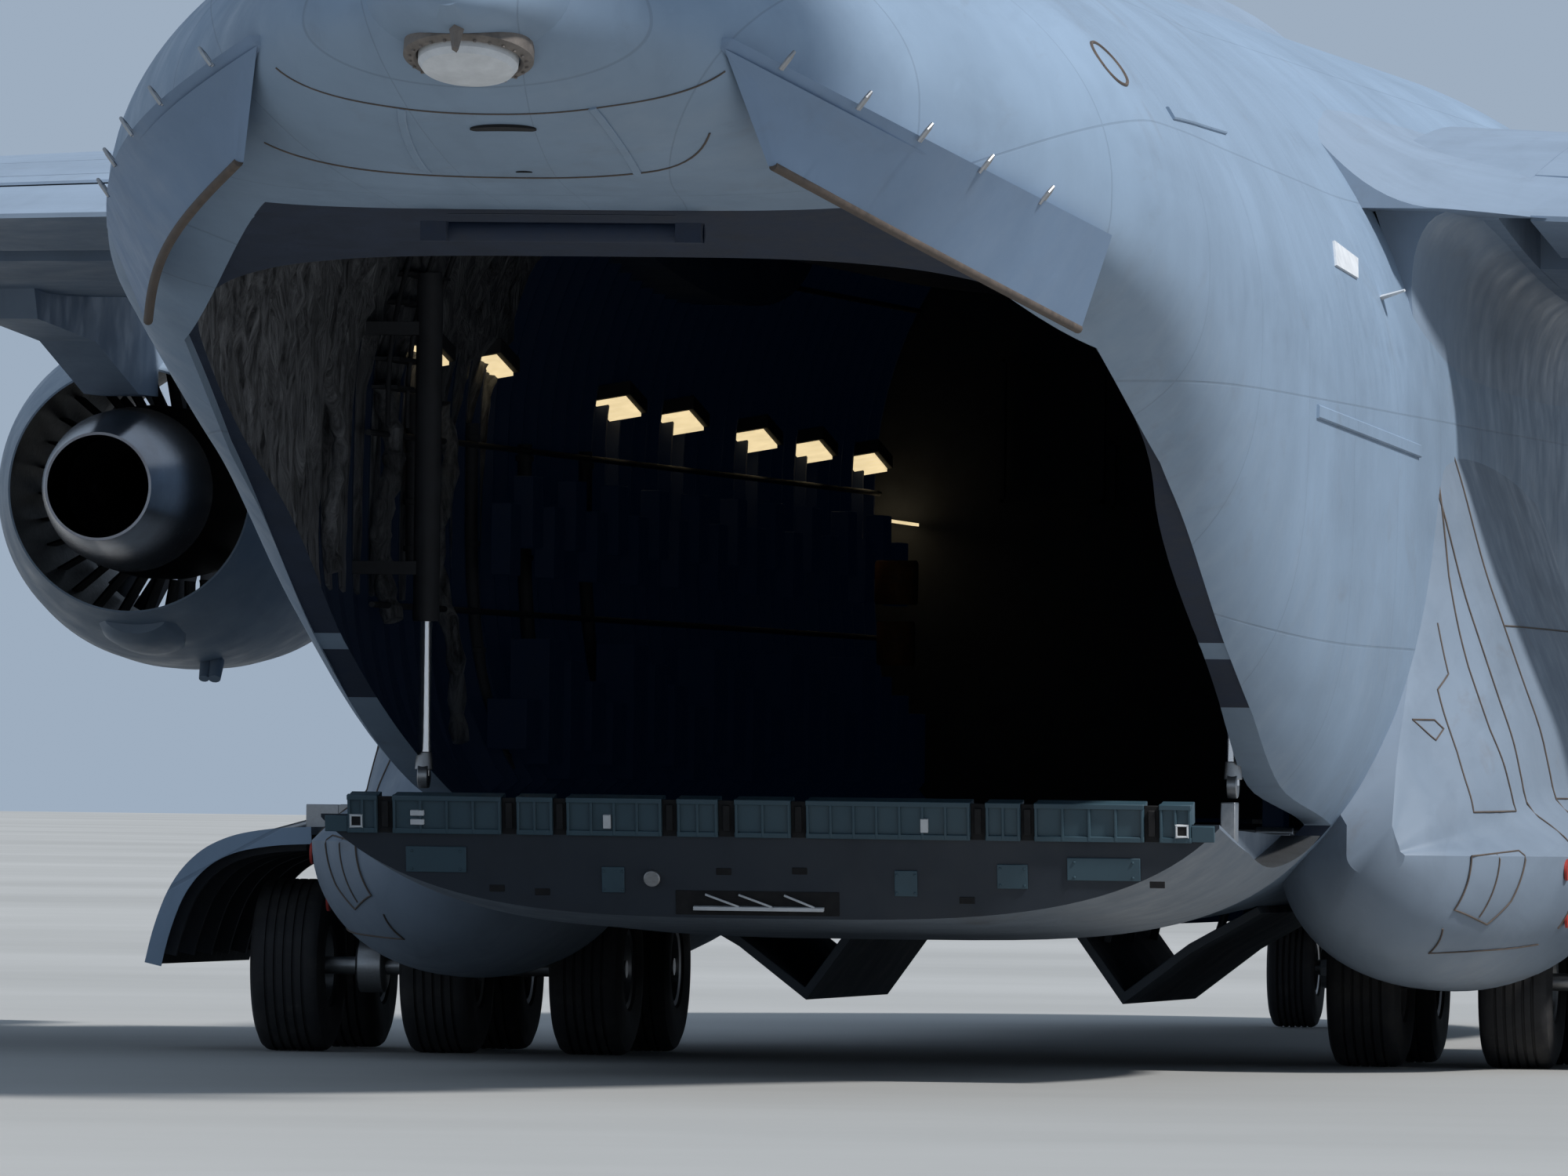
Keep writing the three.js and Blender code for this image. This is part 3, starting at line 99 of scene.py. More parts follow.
# Cockpit panes: side from and to, aft from and to, up from and to
PANES = [
    (0.045, 0.9, 1.5, 4.6, 5.33, 6.13),
    (0.98, 1.72, 1.5, 5.0, 5.33, 6.13),
    (1.85, 3.6, 4.8, 5.56, 5.3, 6.08),
    (1.85, 3.6, 5.66, 6.42, 5.3, 6.08),
]

# The crew door's hole and leaf: low front corner, high rear corner (aft, up)
CREW_HOLE = ((6.335, 1.80), (7.465, 3.94))
CREW_LEAF = ((6.4, 1.9), (7.4, 3.9))
# Bays in the belly: side, aft and up, from and to
NOSE_BAY = (-0.64, 0.64, 4.25, 6.45, 0.5, 1.7)

# Engines: row, side, station of the exhaust, height of the axis
ENGINES = [("inner", 7.6, 19.85, 4.09), ("outer", 13.9, 23.05, 3.79)]
# The main gear: row and station of its wheels, their sides, the leg's side, the bay's length and roof
MAIN_ROWS = [("front", 24.12), ("rear", 26.32)]
MAIN_WHEELS = (2.76, 3.83, 4.9)
MAIN_LEG = 4.365
BAY = (23.15, 27.3)
BAY_TOP = 1.75


def spot(side, aft, up):
    return Vector((side * HALF, (aft - MIDDLE) * HALF, up * HALF))


def monotone(table, column, at):
    """A smooth curve through a table's column that never overshoots its rows."""
    xs = np.array([row[0] for row in table])
    ys = np.array([row[column] for row in table])
    steps = np.diff(xs)
    slopes = np.diff(ys) / steps
    tangents = np.zeros(len(xs))
    tangents[0], tangents[-1] = slopes[0], slopes[-1]
    for i in range(1, len(xs) - 1):
        if slopes[i - 1] * slopes[i] > 0:
            before, after = steps[i - 1], steps[i]
            w1, w2 = 2 * after + before, after + 2 * before
            tangents[i] = (w1 + w2) / (w1 / slopes[i - 1] + w2 / slopes[i])
    k = int(np.clip(np.searchsorted(xs, at) - 1, 0, len(xs) - 2))
    t = (at - xs[k]) / steps[k]
    return (
        (1 + 2 * t) * (1 - t) ** 2 * ys[k]
        + t * (1 - t) ** 2 * steps[k] * tangents[k]
        + t * t * (3 - 2 * t) * ys[k + 1]
        + t * t * (t - 1) * steps[k] * tangents[k + 1]
    )


@functools.lru_cache(maxsize=None)
def skin_at(aft):
    return [monotone(SKIN, column, aft) for column in range(1, 6)]


def skin_point(aft, angle, inset=0.0):
    half, widest, top, bottom, square = skin_at(aft)
    c, s = math.cos(angle), math.sin(angle)
    power = 2 / square if s < 0 else 1.0
    rise = (widest - bottom if s < 0 else top - widest) - inset
    return (
        (half - inset) * math.copysign(abs(c) ** power, c),
        widest + rise * math.copysign(abs(s) ** power, s),
    )


def skin_ring(aft, inset=0.0, count=AROUND):
    ring = []
    for i in range(count):
        side, up = skin_point(aft, i / count * math.tau, inset)
        ring.append(spot(side, aft, up))
    return ring


def skin_part(aft, up):
    """Half width, height of widest, and the rise and squareness of the skin above or below that."""
    half, widest, top, bottom, square = skin_at(aft)
    if up < widest:
        return half, widest, widest - bottom, square
    return half, widest, top - widest, 2.0


def skin_side(aft, up):
    """Half width of the skin at a height."""
    half, widest, rise, power = skin_part(aft, up)
    share = min(abs(up - widest) / rise, 1.0)
    return half * (1 - share**power) ** (1 / power)


def circle(sides):
    """Cosine and sine at even steps round a circle."""
    return [(math.cos(k / sides * math.tau), math.sin(k / sides * math.tau)) for k in range(sides)]


def stations(start, end, step):
    return list(np.linspace(start, end, max(2, int(round((end - start) / step)) + 1)))


def band_faces(first, second, count):
    """The faces between two closed rows of points that start at these numbers."""
    faces = []
    for i in range(count):
        j = (i + 1) % count
        faces.append((first + i, first + j, second + j, second + i))
    return faces


class Form:
    """Gathers the points and faces of one piece."""

    def __init__(self):
        self.points = []
        self.faces = []

    def add(self, points, faces):
        base = len(self.points)
        self.points.extend(tuple(p) for p in points)
        self.faces.extend(tuple(i + base for i in face) for face in faces)
        return self

    def loft(self, rings, caps=True):
        """A skin through closed rings of points, with a face on each end if it has caps."""
        count = len(rings[0])
        last = (len(rings) - 1) * count
        faces = []
        for start in range(0, last, count):
            faces += band_faces(start, start + count, count)
        if caps:
            faces.append(tuple(range(count - 1, -1, -1)))
            faces.append(tuple(range(last, last + count)))
        return self.add([p for ring in rings for p in ring], faces)

    def tube(self, path, radius, sides=12, caps=True):
        """A round bar along a path of points; radius is one number or one for each point."""
        path = [Vector(p) for p in path]
        radii = radius if isinstance(radius, (list, tuple)) else [radius] * len(path)
        rings = []
        across = None
        for i, at in enumerate(path):
            way = path[min(i + 1, len(path) - 1)] - path[max(i - 1, 0)]
            way.normalize()
            if across is None:
                across = way.orthogonal().normalized()
            else:
                across = (across - way * across.dot(way)).normalized()
            other = way.cross(across)
            rings.append([at + (across * c + other * s) * radii[i] for c, s in circle(sides)])
        return self.loft(rings, caps)

    def bar(self, start, end, radius, sides=12):
        """A straight round bar between two places; the radius is in full-size metres."""
        return self.tube([spot(*start), spot(*end)], radius * HALF, sides)

    def block(self, low, high):
        """A box between two opposite corners."""
        (a0, a1, a2), (b0, b1, b2) = spot(*low), spot(*high)
        a0, b0 = sorted((a0, b0))
        points = [(x, y, z) for x in (a0, b0) for y in (a1, b1) for z in (a2, b2)]
        faces = [(0, 1, 3, 2), (4, 6, 7, 5), (0, 4, 5, 1), (2, 3, 7, 6), (0, 2, 6, 4), (1, 5, 7, 3)]
        return self.add(points, faces)

    def plate(self, outline, thick):
        """A flat outline of points given a thickness along a vector."""
        count = len(outline)
        points = [Vector(p) for p in outline] + [Vector(p) + thick for p in outline]
        faces = [tuple(range(count - 1, -1, -1)), tuple(range(count, 2 * count))]
        return self.add(points, faces + band_faces(0, count, count))

    def round_about(self, rows):
        """A skin through closed rows of points, the last of which meets the first."""
        count = len(rows[0])
        faces = []
        for r in range(len(rows)):
            faces += band_faces(r * count, (r + 1) % len(rows) * count, count)
        return self.add([p for row in rows for p in row], faces)

    def turned(self, profile, side, up, sides=96):
        """A closed outline of (radius, aft) turned about a line along the plane."""
        return self.round_about([
            [spot(side + r * c, aft, up + r * s) for r, aft in profile] for c, s in circle(sides)
        ])

    def axled(self, profile, aft, up, sides=96):
        """A closed outline of (radius, side) turned about a crosswise line."""
        return self.round_about([
            [spot(side, aft + r * c, up + r * s) for r, side in profile] for c, s in circle(sides)
        ])

    def mesh(self, name):
        mesh = bpy.data.meshes.new(name)
        mesh.from_pydata(self.points, [], self.faces)
        work = bmesh.new()
        work.from_mesh(mesh)
        bmesh.ops.remove_doubles(work, verts=work.verts, dist=1e-6)
        bmesh.ops.recalc_face_normals(work, faces=work.faces)
        work.to_mesh(mesh)
        work.free()
        mesh.update()
        return mesh

    def loose(self, name):
        """The form as an object without materials, such as one that only takes part in cutting."""
        return linked(name, self.mesh(name))

    def make(self, name, materials, body="airframe", slot="skin_paint", smooth=32, bevel=0):
        """The form as a visible piece that rides on a body."""
        return dress(self.loose(name), materials, body, smooth, bevel)


def linked(name, data):
    obj = bpy.data.objects.new(name, data)
    bpy.context.scene.collection.objects.link(obj)
    return obj


def dress(obj, materials, body="airframe", smooth=32, bevel=0):
    marks = [face.material_index for face in obj.data.polygons]
    obj.data.materials.clear()
    for material in materials if isinstance(materials, (list, tuple)) else [materials]:
        obj.data.materials.append(material)
    obj.data.polygons.foreach_set("material_index", marks)
    if bevel:
        edge = obj.modifiers.new("soft_edges", "BEVEL")
        edge.width = bevel
        edge.segments = 2
        edge.limit_method = "ANGLE"
        edge.angle_limit = math.radians(40)
    obj.data.shade_smooth()
    obj.data.set_sharp_from_angle(angle=math.radians(smooth))
    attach(obj, body)
    return obj


def carve(obj, form, way="DIFFERENCE"):
    """Cut an object with a form, or keep only what both share."""
    carve_with(obj, form.loose("cutter"), way)


def carve_with(obj, tool, way="DIFFERENCE"):
    """Cut an object with another, which is used up."""
    cut = obj.modifiers.new("cut", "BOOLEAN")
    cut.object = tool
    cut.operation = way
    cut.solver = "MANIFOLD"
    bpy.context.view_layer.update()
    shaped = obj.evaluated_get(bpy.context.evaluated_depsgraph_get())
    mesh = bpy.data.meshes.new_from_object(shaped)
    mesh.validate()
    obj.modifiers.clear()
    obj.data = mesh
    bpy.data.objects.remove(tool)


class Surface:
    """One material's nodes. Patterns run on the piece's own coordinates, so they move with it."""

    def __init__(self, name, color, rough=0.5, metal=0.0):
        self.material = bpy.data.materials.new(name)
        self.material.use_nodes = True
        self.tree = self.material.node_tree
        self.tree.nodes.clear()
        out = self.tree.nodes.new("ShaderNodeOutputMaterial")
        self.shader = self.tree.nodes.new("ShaderNodeBsdfPrincipled")
        self.tree.links.new(self.shader.outputs[0], out.inputs[0])
        self.where = self.tree.nodes.new("ShaderNodeTexCoord").outputs["Object"]
        self.set("Base Color", color)
        self.set("Roughness", rough)
        self.set("Metallic", metal)

    def feed(self, node, place, value):
        """Give a node's input a number, a colour or another node's output."""
        if isinstance(value, bpy.types.NodeSocket):
            self.tree.links.new(value, node.inputs[place])
        elif isinstance(value, tuple):
            node.inputs[place].default_value = (*value, 1.0)
        else:
            node.inputs[place].default_value = value

    def set(self, name, value):
        self.feed(self.shader, name, value)

    def stretched(self, stretch):
        node = self.tree.nodes.new("ShaderNodeMapping")
        self.tree.links.new(self.where, node.inputs[0])
        node.inputs["Scale"].default_value = stretch
        return node.outputs[0]

    def noise(self, scale, detail=4.0, rough=0.55, stretch=None, bend=0.0):
        node = self.tree.nodes.new("ShaderNodeTexNoise")
        self.tree.links.new(self.stretched(stretch) if stretch else self.where, node.inputs["Vector"])
        names = ("Scale", "Detail", "Roughness", "Distortion")
        for name, value in zip(names, (scale, detail, rough, bend)):
            node.inputs[name].default_value = value
        return node.outputs[0]

    def math(self, way, a, b):
        node = self.tree.nodes.new("ShaderNodeMath")
        node.operation = way
        self.feed(node, 0, a)
        self.feed(node, 1, b)
        return node.outputs[0]

    def fit(self, value, low, high, to_low=0.0, to_high=1.0):
        """Stretch a value's band to a new band, held at its ends."""
        node = self.tree.nodes.new("ShaderNodeMapRange")
        self.tree.links.new(value, node.inputs[0])
        for index, number in enumerate((low, high, to_low, to_high), start=1):
            node.inputs[index].default_value = number
        return node.outputs[0]

    def mix(self, share, a, b):
        """One colour that goes over into another."""
        node = self.tree.nodes.new("ShaderNodeMix")
        node.data_type = "RGBA"
        for place, value in ((0, share), (6, a), (7, b)):
            self.feed(node, place, value)
        return node.outputs[2]

    def blotch(self, share, under, over, low, high, strength=None):
        """A colour laid over another where a pattern is high."""
        cover = self.fit(share, low, high)
        if strength is not None:
            cover = self.math("MULTIPLY", cover, strength)
        return self.mix(cover, under, over)

    def axis(self, index):
        node = self.tree.nodes.new("ShaderNodeSeparateXYZ")
        self.tree.links.new(self.where, node.inputs[0])
        return node.outputs[index]

    def lines(self, value, pitch, width, shift=0.0):
        """One on thin lines that repeat at a pitch, else zero."""
        place = self.math("ADD", self.math("DIVIDE", value, pitch), shift)
        near = self.math("PINGPONG", place, 0.5)
        return self.fit(near, width / pitch / 2, width / pitch, 1.0, 0.0)

    def bump(self, height, strength, depth):
        node = self.tree.nodes.new("ShaderNodeBump")
        node.inputs["Strength"].default_value = strength
        node.inputs["Distance"].default_value = depth
        self.tree.links.new(height, node.inputs["Height"])
        self.set("Normal", node.outputs[0])


def shade(color, factor):
    return tuple(min(c * factor, 1.0) for c in color)


# The hull paint's panel seams: metres between those round the hull, and how many run along it
SEAM_PITCH = 1.27
SEAMS_ALONG = 14
HULL_AXIS_UP = 2.15


def paint(name, color, grime=(0.12, 0.11, 0.10), seams=True, rough=0.52, wear=0.35):
    """Matte aircraft paint: cloudy tone, run-off streaks, grime, pale wear, grain and panel seams."""
    s = Surface(name, color, rough)
    tone = s.blotch(s.noise(0.9, 5, 0.6), shade(color, 0.86), shade(color, 1.10), 0.3, 0.72)
    runs = s.noise(3.0, 6, 0.62, (2.2, 0.18, 1.1), 0.4)
    tone = s.blotch(runs, tone, shade(color, 0.62), 0.5, 0.78, 0.30 / 0.35 * wear)
    patch = s.noise(2.3, 8, 0.68, (1, 0.7, 1.3), 0.8)
    tone = s.blotch(patch, tone, grime, 0.58, 0.82, wear)
    light = s.noise(5.5, 7, 0.7, (1.2, 0.6, 1), 1.2)
    tone = s.blotch(light, tone, shade(color, 1.35), 0.62, 0.8, 0.22)
    height = s.math("MULTIPLY", s.noise(240, 3, 0.7), 0.12)
    if seams:
        ribs = s.lines(s.axis(1), SEAM_PITCH, 0.006, 0.31)
        angle = s.math("ARCTAN2", s.math("SUBTRACT", s.axis(2), HULL_AXIS_UP), s.axis(0))
        strings = s.lines(angle, math.tau / SEAMS_ALONG, 0.0026, 0.13)
        both = s.math("MAXIMUM", ribs, strings)
        tone = s.mix(s.math("MULTIPLY", both, 0.34), tone, shade(color, 0.45))
        height = s.math("SUBTRACT", height, s.math("MULTIPLY", both, 0.8))
    s.set("Base Color", tone)
    s.set("Roughness", s.fit(s.noise(6, 5, 0.6), 0.3, 0.7, rough - 0.1, rough + 0.16))
    s.bump(height, 0.25, 0.004)
    return s.material


def metal(name, color, rough=0.3, brushed=(1, 14, 1), stain=(0.18, 0.13, 0.10), stains=0.35):
    s = Surface(name, color, rough, 0.92)
    lines = s.noise(60, 4, 0.6, brushed)
    heat = s.noise(1.7, 5, 0.62, None, 0.6)
    tone = s.blotch(lines, shade(color, 0.85), shade(color, 1.1), 0.3, 0.7)
    tone = s.blotch(heat, tone, stain, 0.42, 0.75, stains)
    s.set("Base Color", tone)
    s.set("Roughness", s.fit(lines, 0.2, 0.8, rough * 0.75, rough * 1.5))
    s.bump(lines, 0.12, 0.0015)
    return s.material


def dull(name, color, rough=0.75, scale=18, spread=0.35):
    """A plain dark or dusty surface with fine uneven tone."""
    s = Surface(name, color, rough)
    cloud = s.noise(scale, 6, 0.65)
    tone = s.blotch(cloud, shade(color, 1 - spread), shade(color, 1 + spread), 0.3, 0.7)
    tone = s.blotch(s.noise(scale / 6, 5, 0.6), tone, shade(color, 1 + spread * 2), 0.5, 0.8, 0.3)
    s.set("Base Color", tone)
    s.set("Roughness", s.fit(cloud, 0.3, 0.7, rough - 0.12, min(rough + 0.15, 1.0)))
    s.bump(s.noise(scale * 14, 3, 0.6), 0.25, 0.002)
    return s.material


def tyre_rubber():
    s = Surface("tyre_rubber", (0.018, 0.018, 0.02), 0.82)
    dust = s.noise(7, 6, 0.65)
    tone = s.blotch(dust, (0.016, 0.016, 0.018), (0.055, 0.052, 0.048), 0.48, 0.8)
    tone = s.blotch(s.noise(40, 5, 0.7, (0.4, 1, 1)), tone, (0.07, 0.067, 0.062), 0.6, 0.8, 0.5)
    s.set("Base Color", tone)
    s.set("Roughness", s.fit(dust, 0.3, 0.7, 0.7, 0.95))
    s.bump(s.noise(320, 3, 0.7), 0.35, 0.0012)
    return s.material


def blanket():
    s = Surface("blanket_foil", (0.20, 0.21, 0.23), 0.5, 0.35)
    # The foil's colour swings from near black to silver with its creases: painted shade in the creases and
    # painted highlights on the folds.
    crease_light = s.noise(5.5, 8, 0.72, (1.4, 1.6, 0.45), 3.0)
    s.set("Base Color", s.blotch(crease_light, (0.05, 0.053, 0.06), (0.50, 0.52, 0.56), 0.35, 0.7))
    s.set("Roughness", s.fit(crease_light, 0.3, 0.7, 0.35, 0.65))
    s.bump(crease_light, 0.9, 0.05)
    return s.material


def glow(name, color, strength):
    s = Surface(name, color, 0.4)
    cloud = s.noise(14, 4, 0.6)
    s.set("Base Color", s.blotch(cloud, shade(color, 0.8), color, 0.3, 0.7))
    s.set("Emission Color", s.blotch(cloud, shade(color, 0.82), color, 0.3, 0.7))
    s.set("Emission Strength", strength)
    return s.material


def dark_glass():
    s = Surface("cockpit_glass", (0.02, 0.028, 0.034), 0.08)
    smear = s.noise(6, 5, 0.6, (1, 0.4, 1))
    s.set("Roughness", s.fit(smear, 0.4, 0.8, 0.05, 0.2))
    s.set("Base Color", s.blotch(smear, (0.015, 0.022, 0.028), (0.04, 0.05, 0.058), 0.4, 0.8))
    s.bump(s.noise(40, 2), 0.05, 0.001)
    return s.material


GREY_BLUE = (0.215, 0.295, 0.395)
HULL_PAINT = paint("hull_paint", GREY_BLUE)
WING_PAINT = paint("wing_paint", (0.22, 0.285, 0.37), seams=False)
NACELLE_PAINT = paint("nacelle_paint", (0.20, 0.26, 0.33), seams=False, wear=0.5)
SPONSON_PAINT = paint("sponson_paint", (0.19, 0.24, 0.305), (0.13, 0.105, 0.085), seams=False, wear=0.55)
STRAKE_PAINT = paint("strake_paint", (0.17, 0.25, 0.37), seams=False, wear=0.25)
RAMP_SKIN = paint("ramp_skin", (0.15, 0.185, 0.23), (0.09, 0.075, 0.065), seams=False, wear=0.6)
# Dark grey door paint: painted shade for the raised cargo door and the open belly doors.
SHADED_DOOR_PAINT = paint("door_skin", (0.07, 0.088, 0.112), (0.03, 0.028, 0.026), seams=False, wear=0.5)
RAMP_FACE = paint("ramp_face", (0.035, 0.075, 0.10), (0.02, 0.02, 0.022), seams=False, rough=0.48, wear=0.5)
RAMP_BAND = paint("ramp_band", (0.013, 0.021, 0.033), (0.008, 0.009, 0.011), seams=False, wear=0.6)
# Near-black navy for the hold, the tail and the doors' inner faces: painted shade for the enclosed hold.
INSIDE_SHADE = dull("inside_painted_shade", (0.012, 0.019, 0.036), 0.75, 9)
# The hold's walls glow very faintly blue, for the light that bounces about in there
INSIDE_SHADE_INPUTS = INSIDE_SHADE.node_tree.nodes["Principled BSDF"].inputs
INSIDE_SHADE_INPUTS["Emission Color"].default_value = (0.03, 0.28, 1.0, 1.0)
INSIDE_SHADE_INPUTS["Emission Strength"].default_value = 0.0022
# Dark grey for the fittings inside, darkened as painted shade for the enclosed hold.
SHADED_GREY = dull("inside_grey_painted_shade", (0.035, 0.038, 0.045), 0.7, 12)
# Near-black painted shade for recesses: pockets, holes, the gear bays' walls, the gear doors' insides and
# the engines' guide vanes.
RECESS_SHADE = dull("recess_painted_shade", (0.006, 0.006, 0.007), 0.85, 20)
SEALANT = dull("brown_sealant", (0.085, 0.065, 0.052), 0.75, 26)
DOME_RIM = dull("dome_rim", (0.15, 0.13, 0.115), 0.6, 22)
PALE = dull("pale_plate", (0.62, 0.64, 0.66), 0.6, 14, 0.12)
RED = dull("red_mark", (0.36, 0.03, 0.02), 0.6, 20, 0.25)
AMBER = dull("amber_box", (0.22, 0.085, 0.018), 0.6, 20, 0.25)
RUBBER = tyre_rubber()
FOIL = blanket()
LAMP = glow("lamp_panel", (1.0, 0.80, 0.46), 0.95)
GLASS = dark_glass()
STEEL = metal("leg_steel", (0.42, 0.43, 0.44), 0.35)
CHROME = metal("rod_chrome", (0.82, 0.83, 0.85), 0.12, (14, 14, 0.6), stains=0.05)
CORE_METAL = metal("core_metal", (0.34, 0.36, 0.40), 0.2, (0.6, 14, 0.6), (0.10, 0.055, 0.035), 0.6)
# Near-black: real soot on the exhaust parts, painted shade in the cowls' ducts and on the cores inside them.
SOOT_AND_SHADE = metal("nozzle_soot_and_painted_shade", (0.012, 0.012, 0.013), 0.5, (1, 6, 1), (0.02, 0.012, 0.008), 0.5)
FAN_METAL = metal("fan_metal", (0.30, 0.31, 0.33), 0.3, (14, 1, 14), stains=0.1)
FLOOR_METAL = metal("floor_metal", (0.16, 0.165, 0.17), 0.45, (14, 0.6, 14), (0.05, 0.045, 0.04), 0.6)


def sill_up(aft):
    return monotone(SILL, 1, aft)


def rounded(low, high, radius, steps=6):
    """A rounded rectangle's points between two corners."""
    points = []
    for cx, cy, start in (
        (high[0] - radius, high[1] - radius, 0),
        (low[0] + radius, high[1] - radius, 1),
        (low[0] + radius, low[1] + radius, 2),
        (high[0] - radius, low[1] + radius, 3),
    ):
        for k in range(steps + 1):
            angle = (start + k / steps) * math.pi / 2
            points.append((cx + radius * math.cos(angle), cy + radius * math.sin(angle)))
    return points


def plan_prism(outline, low, high):
    return Form().plate([spot(s, a, low) for s, a in outline], Vector((0, 0, (high - low) * HALF)))


def side_prism(outline, start, end):
    return Form().plate([spot(start, a, u) for a, u in outline], Vector(((end - start) * HALF, 0, 0)))


def aft_prism(outline, start, end):
    return Form().plate([spot(s, start, u) for s, u in outline], Vector((0, (end - start) * HALF, 0)))


def block_form(s0, s1, a0, a1, u0, u1):
    return Form().block((s0, a0, u0), (s1, a1, u1))


# How far apart the hull's rings are: up to this station, metres between them
RING_STEPS = [(0.4, 0.05), (2.5, 0.15), (11, 0.35), (29, 0.9), (TAIL_END, 0.27)]


def hull_form(start, end, inset):
    """The closed shape of the hull between two stations, smaller than its skin by the inset."""
    afts = [start]
    while afts[-1] < end - 0.02:
        step = next(step for limit, step in RING_STEPS if afts[-1] < limit)
        afts.append(min(afts[-1] + step, end))
    return Form().loft([skin_ring(a, inset) for a in afts])


def below_sill(raise_by=0.0):
    run = [(a, sill_up(a) + raise_by) for a in np.linspace(30.4, 45.4, 46)]
    return [(30.2, 0.0), (45.42, 0.0), (45.42, run[-1][1])] + run[::-1] + [(30.2, run[0][1] - 0.03)]


def opening_plan(grow=0.0):
    port = [(half + grow, aft) for aft, half in OPENING]
    return port + [(-s, a) for s, a in port[::-1]]


def tone_inside(obj, share=0.975, fore=0.6, aft=48.3):
    """Faces that lie inside the skin take the second material."""
    for face in obj.data.polygons:
        side, up = face.center.x / HALF, face.center.z / HALF
        at = face.center.y / HALF + MIDDLE
        if not fore < at < aft:
            continue
        half, widest, rise, power = skin_part(at, up)
        reach = abs(side / half) ** power + abs((up - widest) / rise) ** power
        face.material_index = 0 if reach ** (1 / power) > share else 1


def shaped_hull():
    """The hull's skin, with the rear opening, the panes, the crew door's hole and the gear bays cut."""
    body = hull_form(0.0, TAIL_END, 0.0).loose("hull_skin")
    carve(body, hull_form(*HOLLOW, WALL))
    hole = plan_prism(opening_plan(), 0.0, 6.2).loose("hole")
    carve(hole, side_prism(below_sill(), -4, 4), "INTERSECT")
    carve_with(body, hole)
    for s0, s1, a0, a1, u0, u1 in PANES:
        for hand in (1, -1):
            if a1 - a0 > 2:
                low, high = sorted((hand * s0, hand * s1))
                carve(body, aft_prism(rounded((low, u0), (high, u1), 0.07), a0, a1))
            else:
                carve(body, side_prism(rounded((a0, u0), (a1, u1), 0.08), hand * s0, hand * s1))
    carve(body, side_prism(rounded(*CREW_HOLE, 0.12), 2.0, 3.7))
    carve(body, block_form(*NOSE_BAY))
    for hand in (1, -1):
        carve(body, block_form(hand * 0.38, hand * 1.95, *BAY, 0.5, 1.4))
    # The skin's inner faces take the hold's painted shade.
    dress(body, [HULL_PAINT, INSIDE_SHADE])
    tone_inside(body)
    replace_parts(body, "fuselage_nose", "fuselage_forward", "fuselage_centre", "fuselage_aft")


def tail_lid():
    """The closed tail cone behind the opening's front edge line, and the arms of the door's hinge."""
    # The bulkhead and the hinge arms take the hold's painted shade.
    hull_form(45.4, 47.95, 0.105).make("tail_bulkhead", INSIDE_SHADE)
    arms = Form()
    for hand in (1, -1):
        arms.block((hand * 0.703, 45.28, 5.2), (hand * 0.86, 45.42, 5.32))
        arms.bar((hand * 0.7007, 45.28, 5.26), (hand * 0.86, 45.28, 5.26), 0.06, 24)
    arms.make("door_hinge_arms", INSIDE_SHADE, bevel=0.004)


# A strake's upper and lower edge, front and rear, and how far its middle bows out
STRAKE_TOP = (Vector((3.13, 43.6, 5.32)), Vector((1.45, 48.1, 6.33)))
STRAKE_LOW = (Vector((2.92, 43.4, 4.75)), Vector((1.63, 47.5, 5.60)))
STRAKE_BOW = Vector((0.12, 0.9, -0.03))
STRAKE_THIN = Vector((-0.05, 0, 0))
STRAKE_LEDGE = Vector((-0.55, 0, 0))
STRAKE_DROP = Vector((0, 0, -0.06))


def strake_edge(edge, share, bow=1.0):
    """A place on a strake's edge, from its front (0) to its rear (1)."""
    return edge[0].lerp(edge[1], share) + STRAKE_BOW * (bow * math.sin(share * math.pi))


def ventral_strakes():
    """The bowed plates under the tail, with a ledge into the hull and a thick lower edge."""
    shares = np.linspace(0, 1, 28)
    lows = [strake_edge(STRAKE_LOW, t, 0.5) for t in shares]
    for name, hand in BOTH:
        rows = []
        for t, low in zip(shares, lows):
            top = strake_edge(STRAKE_TOP, t)
            under = top + STRAKE_DROP
            ring = [top, top.lerp(low, 0.5), low, low + STRAKE_THIN, under.lerp(low, 0.5) + STRAKE_THIN,
                    under + STRAKE_THIN, under + STRAKE_LEDGE, top + STRAKE_LEDGE]
            rows.append([spot(hand * at.x, at.y, at.z) for at in ring])
        Form().loft(rows).make(f"strake_{name}", STRAKE_PAINT, smooth=40)
        lip = Form().tube([spot(hand * (p.x - 0.02), p.y, p.z) for p in lows], 0.03 * HALF, 10)
        lip.make(f"strake_lip_{name}", SEALANT, smooth=40)


def turn_about(point, aft, up, degrees):
    """Turn a point about a crosswise line through (aft, up)."""
    c, s = math.cos(math.radians(degrees)), math.sin(math.radians(degrees))
    at = spot(0, aft, up)
    y, z = point[1] - at.y, point[2] - at.z
    return Vector((point[0], at.y + y * c - z * s, at.z + y * s + z * c))


def swing(obj, aft, up, degrees):
    for v in obj.data.vertices:
        v.co = turn_about(v.co, aft, up, degrees)
    obj.data.update()


# The hinges' stations and heights; the ramp and the door are made shut, then turned to the photo's position.
# Shut, the ramp's floor slopes 11 degrees up.
RAMP_HINGE = (30.46, 1.64)
RAMP_LOWERED = 10.2
RAMP_CLOSED = 11.0
RAMP_END = 36.5
RAMP_TOP = 1.53
DOOR_HINGE = (45.28, 5.26)
DOOR_RAISED = 21.5
BEAM_LIP = 0.12


